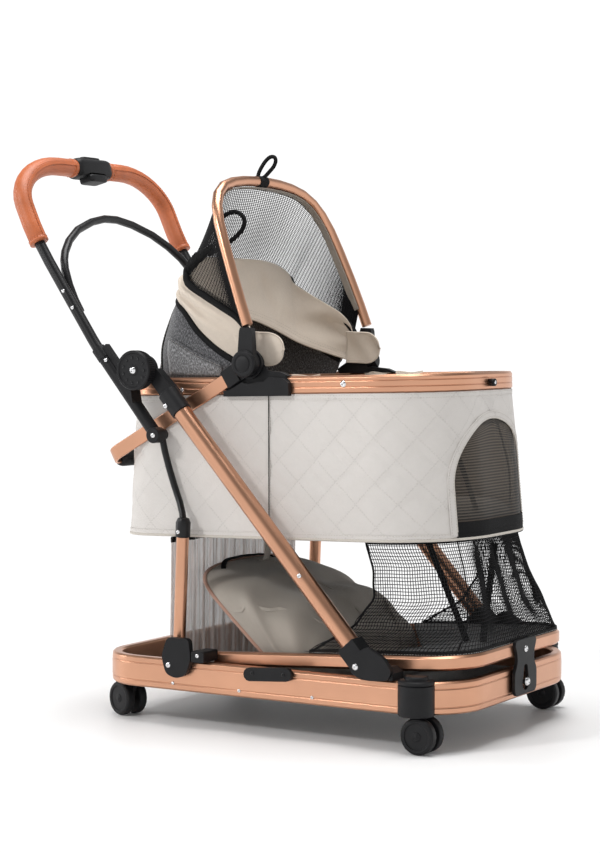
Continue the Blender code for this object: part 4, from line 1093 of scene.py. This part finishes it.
def make_canopy_trim():
    """Pull loop, tie loop and the bunched band."""
    top = C(-0.1425, 0, 0.9755)
    aside, rise = Vector((0.857, 0.515, 0)), Vector((0, 0, 1))
    along_it, across_it = aside * 0.62 + rise * 0.78, aside * -0.78 + rise * 0.62
    shape = ((-0.006, -0.004), (0.002, -0.0075), (0.014, -0.0085), (0.027, -0.0088), (0.037, -0.0055),
             (0.041, 0.0005),
             (0.037, 0.0065), (0.027, 0.0088), (0.014, 0.0080), (0.002, 0.0055), (-0.006, 0.002))
    loop = [top + along_it * s + across_it * w for s, w in shape]
    cord("pull_loop", spline(loop, 8), 0.0037, 10, "webbing", "canopy_front")
    bow = along(bow_front(), 241)
    band = [p for p in bow if abs(p.y) < 0.016]
    cord("pull_band", band, 0.0104, 16, "webbing", "canopy_front")
    tie = [C(-0.168, -0.128, 0.872), C(-0.148, -0.124, 0.893), C(-0.125, -0.120, 0.902),
           C(-0.108, -0.118, 0.893),
           C(-0.106, -0.118, 0.876), C(-0.122, -0.120, 0.858), C(-0.146, -0.126, 0.842),
           C(-0.172, -0.134, 0.828)]
    cord("tie_loop", spline(tie, 8), 0.0040, 10, "webbing", "canopy_mid")
    path = spline([C(-0.200, -0.170, 0.790), C(-0.186, -0.174, 0.806), C(-0.160, -0.176, 0.824),
                   C(-0.128, -0.180, 0.840)], 10)
    rows = []
    for i, p in enumerate(path):
        wide = 0.012 * math.sin(math.pi * (0.12 + 0.8 * i / (len(path) - 1)))
        rows.append([p + Vector((0.2 * wide * math.cos(a), 0.55 * wide * math.cos(a), wide * math.sin(a)))
                     + Vector((0, ripple(i * 0.1, a, 0, 6.0, 0.004), ripple(a, i * 0.13, 2, 6.0, 0.004)))
                     for a in (2 * math.pi * k / 14 for k in range(15))])
    finish(surface("gathered_band", rows), "webbing", "canopy_mid")


# ---------------------------------------------------------------- lower compartment
HOOD_Z = 0.0726
HOOD = ((-0.1860, 0.2680, 0.0300, 0.1840, 0.14), (-0.1200, 0.2640, 0.0400, 0.1860, 0.20),
        (-0.0700, 0.2440, 0.0500, 0.1860, 0.28), (0.0000, 0.2220, 0.0650, 0.1840, 0.36),
        (0.0500, 0.1900, 0.0800, 0.1760, 0.45), (0.0900, 0.1400, 0.0900, 0.1650, 0.50),
        (0.1080, 0.0950, 0.1000, 0.1500, 0.50), (0.1120, 0.0765, 0.1040, 0.1400, 0.50))


def hood_row(t, count, grow=0.0):
    """One arch of the hood, from its rim (t = 0) to the front (t = 7), smoothed between the named arches."""
    k = min(len(HOOD) - 2, int(t))
    f = t - k
    stops = (HOOD[min(max(k + d, 0), len(HOOD) - 1)] for d in (-1, 0, 1, 2))
    rx, rz, fx, half, square = (
        0.5 * (2 * b + (c - a) * f + (2 * a - 5 * b + 4 * c - d) * f * f + (3 * b - a - 3 * c + d) * f ** 3)
        for a, b, c, d in zip(*stops))
    dense = []
    for i in range(241):
        a = math.radians(-90 + 180 * i / 240)
        across, up = math.sin(a), (max(0.0, math.cos(a)) ** square if 0 < i < 240 else 0.0)
        y = (half + grow) * math.copysign(abs(across) ** 0.8, across)
        dense.append(Vector((fx + (rx - fx) * up, y, HOOD_Z + (rz + grow - HOOD_Z) * up)))
    return spaced(dense, count, count - 1)


def make_hood():
    count = 90
    rows = []
    for j in range(57):
        t = 7 * j / 56
        row = []
        for i, (x, y, z) in enumerate(hood_row(t, count)):
            u = i / (count - 1)
            w = math.sin(math.pi * u) ** 0.5 * min(1.0, t * 0.8)
            pull = 0.0040 * math.sin(t * 4.2 + 5.0 * abs(u - 0.5)) + ripple(x, y, z, 14.0, 0.0070)
            out = Vector((0.35, y * 4, 0.5)).normalized()
            row.append(P(x, y, z) + out * pull * w)
        rows.append(row)
    obj = finish(thicken(surface("hood_cloth", rows), 0.0014), "hood_fabric", "base")
    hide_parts("lower_hood")


def make_hood_trim():
    """Piping, seams, stitches, tape and strap of the hood."""
    count = 90
    rim = [P(*p) for p in hood_row(0.0, count, 0.0012)]
    cord("hood_piping", rim, 0.0034, 10, "piping", "base")
    for k, t in enumerate((0.12, 0.24)):
        row = [P(*p) + Vector((0, 0, 0.0010)) for p in hood_row(t, count, 0.0012)]
        stitches("hood_stitches_%d" % k, row[6:-6], (0, 0, 1), "thread", "base", radius=0.0004)
    seam = [P(*hood_row(t, count, 0.0014)[count // 2]) for t in (i * 0.25 for i in range(1, 27))]
    tape("hood_seam", seam, (0.3, 0, 1), 0.0080, 0.0010, "hood_fabric", "base")
    for shift in (-0.0026, 0.0026):
        row = [p + Vector((0, shift, 0.0008)) for p in seam]
        stitches("hood_seam_stitches_%d" % (shift > 0), row, (0.3, 0, 1), "thread", "base", radius=0.0003)
    for side, sign in SIDES:
        dart = []
        for i in range(24):
            t = 0.3 + 5.8 * i / 23
            row = hood_row(t, 91, 0.0012)
            dart.append(P(*row[int(45 + sign * (26 - 8 * i / 23))]))
        tape("hood_dart_" + side, dart, (0.2, sign, 0.5), 0.0060, 0.0010, "hood_fabric", "base")
    bow = [P(-0.150, -0.128, 0.250), P(-0.166, -0.100, 0.2735), P(-0.172, -0.05, 0.2770),
           P(-0.172, 0, 0.2765), P(-0.166, 0.05, 0.2720), P(-0.148, 0.100, 0.2480), P(-0.130, 0.128, 0.2180)]
    tape("hood_tape", spline(bow, 8), (0.1, 0, 1), 0.0090, 0.0022, "webbing", "base")
    strap = [P(-0.138, 0, 0.3300), P(-0.137, 0, 0.3080), P(-0.137, 0, 0.2860), P(-0.1415, 0, 0.2720),
             P(-0.150, 0, 0.2690)]
    tape("hood_strap", spline(strap, 6), (-1, 0, 0.1), 0.0200, 0.0020, "hood_fabric", "base")
    for k, (x, z) in enumerate(((-0.1395, 0.2960), (-0.1400, 0.2790))):
        screw("hood_rivet_%d" % k, P(x, 0, z), (-1, 0, 0.1), 0.0036, "base")


def make_curtain():
    """Striped linen hung in soft vertical folds behind the rear posts."""
    cols, levels = 170, 26
    rows = []
    for j in range(levels + 1):
        v = j / levels
        z = 0.0745 + (0.3235 - 0.0745) * v
        row = []
        for i in range(cols + 1):
            u = i / cols
            y = -0.2130 + 0.426 * u
            fold = 0.0045 * math.sin(2 * math.pi * 13 * u + 1.2 * math.sin(5 * u)) * (0.45 + 0.55 * (1 - v))
            fold += 0.0025 * math.sin(2 * math.pi * 29 * u + 2.0 * v)
            row.append(P(-0.2095 + 0.004 * v + fold - 0.001, y, z + ripple(u * 3, v, 0, 3.0, 0.0015)))
        rows.append(row)
    obj = finish(thicken(surface("curtain_cloth", rows), 0.0010, 0.0), "curtain_fabric", "base")
    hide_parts("rear_curtain")
    for name, row, rise in (("curtain_header", rows[-1], -0.003), ("curtain_hem", rows[0], 0.003)):
        tape(name, [p + Vector((0, 0, rise)) for p in row[::2]], (-1, 0, 0), 0.0100, 0.0030, "webbing",
             "base")


SKIRT = ((0.0, 0.0750), (0.25, 0.1600), (0.5, 0.1950), (0.75, 0.1920), (1.0, 0.1750))


def skirt_row(k, count, edge=None, lift=0.0, inset=0.0):
    xf = 0.3700 - 0.0500 * k - 0.006 * math.sin(math.pi * k) - inset
    w = 0.2065 - 0.0160 * k - inset
    r = 0.066 + 0.060 * k
    edge_x = table(SKIRT, k) if edge is None else edge
    pts = [(edge_x, -w)]
    for cy, start in ((-w + r, 270), (w - r, 0)):
        for i in range(13):
            a = math.radians(start + 90 * i / 12)
            pts.append((xf - r + r * math.cos(a), cy + r * math.sin(a)))
    pts.append((edge_x, w))
    low, high = 0.1382, TUB_Z0 - 0.0005
    slope = 0.058 * (1 - k) + math.tan(-TILT) * k
    return [P(p.x, p.y, low + lift + (high - low) * k + p.x * slope) for p in even(pts, count, closed=False)]


def make_skirt():
    """Black net round the front of the lower bay, bound at its edges."""
    count, rows_n = 132, 32
    rows = []
    for j in range(rows_n + 1):
        k = j / rows_n
        row = []
        for i, p in enumerate(skirt_row(k, count)):
            w = math.sin(math.pi * k)
            out = level_out(p, P(0.1, 0, 0)).normalized()
            row.append(p + out * (w * (0.0035 * math.sin(i * 0.42 + 2.5 * k) + ripple(p.x, p.y, p.z, 16.0,
                                                                                      0.006))))
        rows.append(row)
    obj = net("skirt_net", rows, 0.0019, "skirt_mesh", "base")
    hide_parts("front_skirt")
    for name, path, width in (("skirt_top", rows[-1], 0.0080), ("skirt_bottom", rows[0], 0.0100)):
        outs = [level_out(p, P(0.1, 0, 0)) for p in path]
        tape(name, path, outs.__getitem__, width, 0.0020, "webbing", "base")
    bottom = [p + level_out(p, P(0.1, 0, 0)).normalized() * 0.0014 for p in rows[0]]
    stitches("skirt_stitches", bottom, (1, 0, 0.2), "white_thread", "base", radius=0.0004)
    for side, edge, corner in (("right", 0, 38), ("left", -1, -39)):
        path = [row[edge] for row in rows]
        cord("skirt_edge_" + side, spline(path[::4], 6), 0.0020, 8, "webbing", "base")
        path = [row[corner] for row in rows]
        cord("skirt_seam_" + side, spline(path[::4], 6), 0.0014, 8, "webbing", "base")


def make_bay_mat():
    """Dark mat inside the upper ring, lying over the front of the bay, and the two straps above it."""
    rows = []
    for j in range(15):
        t = j / 14
        rows.append([])
        for p in skirt_row(0.0, 90, 0.060, 0.0010, 0.006):
            centre = P(0.200, 0, p.z - 0.014)
            q = p.lerp(Vector((lerp(p.x, centre.x, 0.9), 0.0, centre.z)), t * 0.98)
            sag = 0.012 * math.sin(math.pi * t) * 0.4
            rows[-1].append(q + Vector((0, 0, ripple(q.x, q.y, 0, 14.0, 0.006) * t - sag)))
    mat_obj = finish(thicken(surface("bay_mat", rows), 0.0015, 0.0), "mat_fabric", "base", slot="skirt_mesh")

    for k, (a, b) in enumerate((((0.197, 0.323), (0.270, 0.150)), ((0.327, 0.325), (0.300, 0.150)))):
        middle = P((a[0] + b[0]) / 2, -0.004, (a[1] + b[1]) / 2)
        tape("bay_strap_%d" % k, spline([P(a[0], -0.010, a[1]), middle, P(b[0], 0, b[1])], 6), (0.3, -1, 0),
             0.0110, 0.0016, "webbing", "base")


# ---------------------------------------------------------------- fasteners and handle fittings
def make_rivets():
    """Rivets and screws in mirrored pairs, (x, z), the distance from the middle, and the radius."""
    spots = (("leg_rivet", (0.0822, 0.2780), 0.2535, 0.0042, "front_frame", "steel"),
             ("bracket_rivet", (0.1975, 0.1359), 0.2665, 0.0055, "base", "steel"),
             ("socket_rivet", (-0.1873, 0.5581), 0.2558, 0.0042, "front_frame", "steel"),
             ("link_rivet_low", (-0.2235, 0.5058), 0.2419, 0.0046, "handle_lower", "steel"),
             ("link_rivet_high", (-0.3247, 0.6368), 0.2418, 0.0036, "handle_lower", "steel"),
             ("collar_screw", (-0.1702, 0.3386), 0.2427, 0.0036, "rear_frame", "steel"),
             ("rear_bracket_screw", (-0.1756, 0.1084), 0.2665, 0.0048, "base", "steel"),
             ("connector_pin", (-0.1152, 0.1290), 0.2660, 0.0036, "base", "steel"),
             ("band_screw_rear", (-0.1732, 0.0755), 0.2552, 0.0030, "base", "steel"),
             ("band_screw_mid", (-0.0366, 0.0740), 0.2552, 0.0030, "base", "steel"),
             ("band_screw_front", (0.1085, 0.0755), 0.2552, 0.0030, "base", "steel"),
             ("catch_screw_rear", (-0.0046, 0.1085), 0.2640, 0.0034, "base", "black_metal"),
             ("catch_screw_front", (0.0571, 0.1105), 0.2640, 0.0034, "base", "black_metal"),
             ("upright_rivet_high", (-0.4205, 0.7600), 0.2395, 0.0034, "handle_upper", "steel"),
             ("upright_rivet_low", (-0.4000, 0.7300), 0.2395, 0.0034, "handle_upper", "steel"))
    for name, (x, z), y, radius, body, mat in spots:
        for side, sign in SIDES:
            screw(name + "_" + side, P(x, sign * y, z), (0, sign, 0), radius, body, mat)


def make_ring_rivets(side, sign):
    screw("ring_rivet_" + side, C(0.1336, sign * 0.1957, 0.5958), (0, sign, 0), 0.0058, "carrier")
    screw("ring_inner_rivet_" + side, C(0.0426, sign * 0.1833, 0.5990), (0, -sign, 0), 0.0040, "carrier")
    screw("shoe_rivet_" + side, C(-0.1936, sign * 0.1957, 0.5889), (0, sign, 0), 0.0040, "carrier")


def make_dial(side, sign):
    """The fold hub: holes, ribs and the middle screw."""
    hub = Vector((HUB.x, sign * 0.2626, HUB.z))
    out = Vector((0, sign, 0))
    screw("dial_screw_" + side, hub + out * -0.0008, out, 0.0062, "handle_lower")
    for k in range(11):
        a = 2 * math.pi * k / 11
        spot = hub + Vector((math.cos(a), 0, math.sin(a))) * 0.0225 + out * -0.0020
        ring = [(0.0001, 0.0003), (0.0016, 0.0003), (0.0022, 0.0008), (0.0027, 0.0006), (0.0028, 0.0)]
        lathe("dial_hole_%s_%02d" % (side, k), ring, spot, out, 14, "black_metal", "handle_lower")
    ribs, faces = [], []
    for k in range(56):
        a, da = 2 * math.pi * k / 56, 2 * math.pi / 56 * 0.28
        base = len(ribs)
        for y in (0.2585, 0.2440):
            for off, r in ((-da, 0.0340), (0, 0.0349), (da, 0.0340)):
                ribs.append(Vector((HUB.x + r * math.cos(a + off), sign * y,
                                    HUB.z + r * math.sin(a + off))))
        faces += [(base, base + 1, base + 4, base + 3), (base + 1, base + 2, base + 5, base + 4),
                  (base, base + 3, base + 5, base + 2), (base, base + 2, base + 1),
                  (base + 3, base + 4, base + 5)]
    finish(mesh_object("dial_ribs_" + side, ribs, faces), "black_plastic", "handle_lower", smooth=False)


def make_hub_cap(side, sign):
    """Ring and disc on the pivot of the carry bar."""
    cap = joint_at("carry_handle_raise")
    ring = [(0.0180, 0.0), (0.0186, 0.0010), (0.0196, 0.0010), (0.0202, 0.0)]
    lathe("cap_ring_" + side, ring, (cap.x, sign * 0.2234, cap.z), (0, sign, 0), 40,
          "black_plastic", "carry_handle")
    disc = [(0.0001, 0.0006), (0.0120, 0.0006), (0.0132, 0.0)]
    lathe("cap_disc_" + side, disc, (cap.x, sign * 0.2240, cap.z), (0, sign, 0), 32,
          "black_plastic", "carry_handle")


def make_latch_studs():
    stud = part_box("latch_stud")[1]
    screw("latch_stud_head", (stud.x - 0.0006, 0, 0.0900), (1, 0, 0), 0.0068, "base")
    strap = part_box("latch_strap")[1]
    screw("latch_rivet", (strap.x - 0.0002, 0, 0.1460), (1, 0, 0), 0.0058, "latch_strap")


def make_wheel_trim():
    """A cap and a raised rim on both faces of each caster."""
    for tag in ("front_right", "front_left", "rear_right", "rear_left"):
        axle = joint_at("roll_" + tag)
        turn = next(j for j in frame["joints"] if j["name"] == "roll_" + tag)
        axis = Vector(turn["axis"]).normalized()
        for k, d in enumerate((-1, 1)):
            face = axle + axis * (d * 0.0218)
            disc = [(0.0001, 0.0008), (0.0045, 0.0008), (0.0052, 0.0002), (0.0054, -0.0004)]
            lathe("wheel_cap_%s_%d" % (tag, k), disc, face, axis * d, 20, "black_plastic", "wheels_" + tag)
            groove = [(0.0235, -0.0012), (0.0240, 0.0004), (0.0262, 0.0006), (0.0268, -0.0006)]
            lathe("wheel_rim_%s_%d" % (tag, k), groove, face + axis * (d * -0.0004), axis * d, 44,
                  "wheel_rubber", "wheels_" + tag)


def make_ring_trim():
    """Knob at the front of the carrier's ring, rivets inside it, and short cloth flaps with snaps."""
    path = [C(x, 0, 0.5925) for x in (RING_XF + 0.0004, RING_XF + 0.0080, RING_XF + 0.0100)]
    cord("ring_knob", path, 0.0066, 20, "black_plastic", "carrier")
    screw("ring_knob_rivet", C(RING_XF + 0.0101, 0, 0.5925), (1, 0, 0), 0.0030, "carrier")
    for side, sign in SIDES:
        screw("ring_rivet_inside_" + side, C(0.130, sign * (RING_W - 0.0088), 0.5930), (0, -sign, 0),
              0.0034, "carrier")
        for k, (x0, x1) in enumerate(((-0.040, 0.020), (0.028, 0.086))):
            path = [C(x0 + (x1 - x0) * i / 12, sign * (RING_W - 0.0115 - 0.004 * math.sin(math.pi * i / 12)),
                      0.6035 + 0.0015 * math.sin(math.pi * i / 6 + k)) for i in range(13)]
            tape("rim_flap_%s_%d" % (side, k), path, (0, -sign * 0.9, 0.45), 0.0190, 0.0016,
                 "canopy_fabric", "carrier")
            screw("rim_snap_%s_%d" % (side, k), path[9] + Vector((0, -sign * 0.0014, 0.0010)),
                  (0, -sign * 0.9, 0.45),
                  0.0040, "carrier")


# each grip, as a length along the handle's upright and a distance from the middle
GRIP_LOW, GRIP_TOP, GRIP_SIDE, GRIP_END = 0.2222, 0.383, 0.2295, 0.0525


def make_grips():
    """Seams, end bands and stitches of the leather grips."""
    lean0, straight, curve = math.radians(34.6), 0.180, 0.551
    bend = (-0.3560, 0.6640)

    def spot(length, y, front=0.0):
        lean = lean0 - max(0.0, length - straight) / curve
        run = min(length, straight)
        x = bend[0] - run * math.sin(lean0) - curve * (math.cos(lean) - math.cos(lean0))
        z = bend[1] + run * math.cos(lean0) + curve * (math.sin(lean0) - math.sin(lean))
        return P(x + front * math.cos(lean), y, z + front * math.sin(lean))

    for side, sign in SIDES:
        line = [(l, GRIP_SIDE) for l in (GRIP_LOW, 0.226, 0.245, 0.272)]
        line += [(0.300 + 0.083 * math.sin(a), GRIP_SIDE - 0.1295 * (1 - math.cos(a)))
                 for a in (math.radians(9 * i) for i in range(11))]
        line += [(GRIP_TOP, y) for y in (0.080, 0.060, GRIP_END)]
        path = spline([spot(l, sign * y) for l, y in line], 4)
        fr = frames(path)
        ahead = spot(0.3, 0, 1.0) - spot(0.3, 0)
        seam = []
        for p, (t, _, _) in zip(path, fr):
            face = (ahead - t * t.dot(ahead)).normalized()
            seam.append((p + face * 0.0173, face, t))
        tape("grip_seam_" + side, [p for p, f, t in seam], lambda i: seam[i][1], 0.0060, 0.0012,
             "grip_leather", "handle_upper")
        for k, off in enumerate((-0.0042, 0.0042)):
            row = [p + t.cross(f) * off - f * 0.0004 for p, f, t in seam]
            stitches("grip_stitches_%s_%d" % (side, k), row, seam[0][1], "grip_thread", "handle_upper",
                     length=0.0042, gap=0.0022, radius=0.00042, slot="grip_leather")
        for name, start, end in (("low", (GRIP_LOW, GRIP_SIDE), (0.2300, GRIP_SIDE)),
                                 ("top", (GRIP_TOP, GRIP_END), (GRIP_TOP, 0.0610))):
            start, end = (spot(l, sign * y) for l, y in (start, end))
            cord("grip_band_%s_%s" % (name, side), [start, start.lerp(end, 0.5), end], 0.0178, 24,
                 "grip_leather", "handle_upper")
            axis = (end - start).normalized()
            around = circle(axis, (0, 1, 0), 0.0180, [2 * math.pi * i / 48 for i in range(49)])
            ring = [end - axis * 0.0008 + q for q in around]
            stitches("grip_band_stitches_%s_%s" % (name, side), ring, axis, "grip_thread", "handle_upper",
                     radius=0.0004, slot="grip_leather")


make_tub_wall()
make_tub_lining()
make_tub_floor()
make_tub_trim()
make_window()
make_cushion()
make_canopy_net()
make_canopy_bows()
make_canopy_back()
make_canopy_cloth()
make_canopy_lining()
make_canopy_lobes()
make_canopy_trim()
make_hood()
make_hood_trim()
make_curtain()
make_skirt()
make_bay_mat()
make_rivets()
for side, sign in SIDES:
    make_ring_rivets(side, sign)
    make_dial(side, sign)
    make_hub_cap(side, sign)
make_latch_studs()
make_wheel_trim()
make_grips()
make_ring_trim()


# ---------------------------------------------------------------- camera, light and floor
FLOOR_KEEP, FLOOR_END = 0.66, 1.15


def studio():
    cam = bpy.data.cameras.new("camera")
    cam.sensor_fit = "HORIZONTAL"
    cam.sensor_width = 36.0
    cam.lens = 125.3
    cam.clip_end = 50
    eye = bpy.data.objects.new("camera", cam)
    eye.location = P(1.878, -3.239, 0.687)
    eye.rotation_euler = (math.radians(90 - 2.6), 0, math.radians(31))
    bpy.context.scene.collection.objects.link(eye)
    bpy.context.scene.camera = eye

    bpy.context.scene.view_settings.view_transform = "Standard"
    world = bpy.data.worlds.new("studio")
    bpy.context.scene.world = world
    world.use_nodes = True
    tree = world.node_tree
    back = tree.nodes["Background"]
    back.inputs[1].default_value = 1.07
    aim = tree.nodes.new("ShaderNodeTexCoord").outputs["Generated"]
    height = add(tree, "SeparateXYZ", {"Vector": aim}).outputs["Z"]
    dome = add(tree, "MapRange", {"Value": height, "From Min": 0.17, "From Max": 0.55,
                                  "To Min": 1.0, "To Max": 0.22}).outputs[0]
    both_ways = add(tree, "CombineXYZ", {"X": dome, "Y": dome, "Z": dome}).outputs[0]
    tree.links.new(both_ways, back.inputs[0])

    floor = mesh_object("floor", [(-3, -3, 0), (3, -3, 0), (3, 3, 0), (-3, 3, 0)], [(0, 1, 2, 3)])
    tree = shader("studio_floor", (0.975, 0.975, 0.975), 0.5)
    tint(tree, cloud(tree, place(tree), 2.0, 2.0), (0.3, (0.972, 0.972, 0.972)), (0.7, (0.980, 0.980, 0.980)))
    reach = add(tree, "VectorMath", {0: place(tree)}, operation="LENGTH").outputs["Value"]
    fade = add(tree, "MapRange", {"Value": reach, "From Min": FLOOR_KEEP, "From Max": FLOOR_END,
                                  "To Min": 1.0, "To Max": 0.0}).outputs[0]
    drive(tree, fade, "Alpha")
    floor.data.materials.append(MATS["studio_floor"])

    def lamp(name, where, aim, size, power):
        light = bpy.data.lights.new(name, "AREA")
        light.shape = "RECTANGLE"
        light.size, light.size_y = size
        light.energy = power
        obj = bpy.data.objects.new(name, light)
        obj.location = where
        obj.rotation_euler = (Vector(aim) - Vector(where)).to_track_quat("-Z", "Y").to_euler()
        bpy.context.scene.collection.objects.link(obj)

    lamp("top", (0.1, 0.2, 3.2), (0.1, 0.2, 0), (2.0, 2.0), 88)
    lamp("key", (-1.4, -2.8, 2.4), (0, 0, 0.5), (0.5, 0.5), 40)
    lamp("left", (-3.0, -1.0, 1.4), (0, 0, 0.5), (0.5, 2.0), 22)


studio()
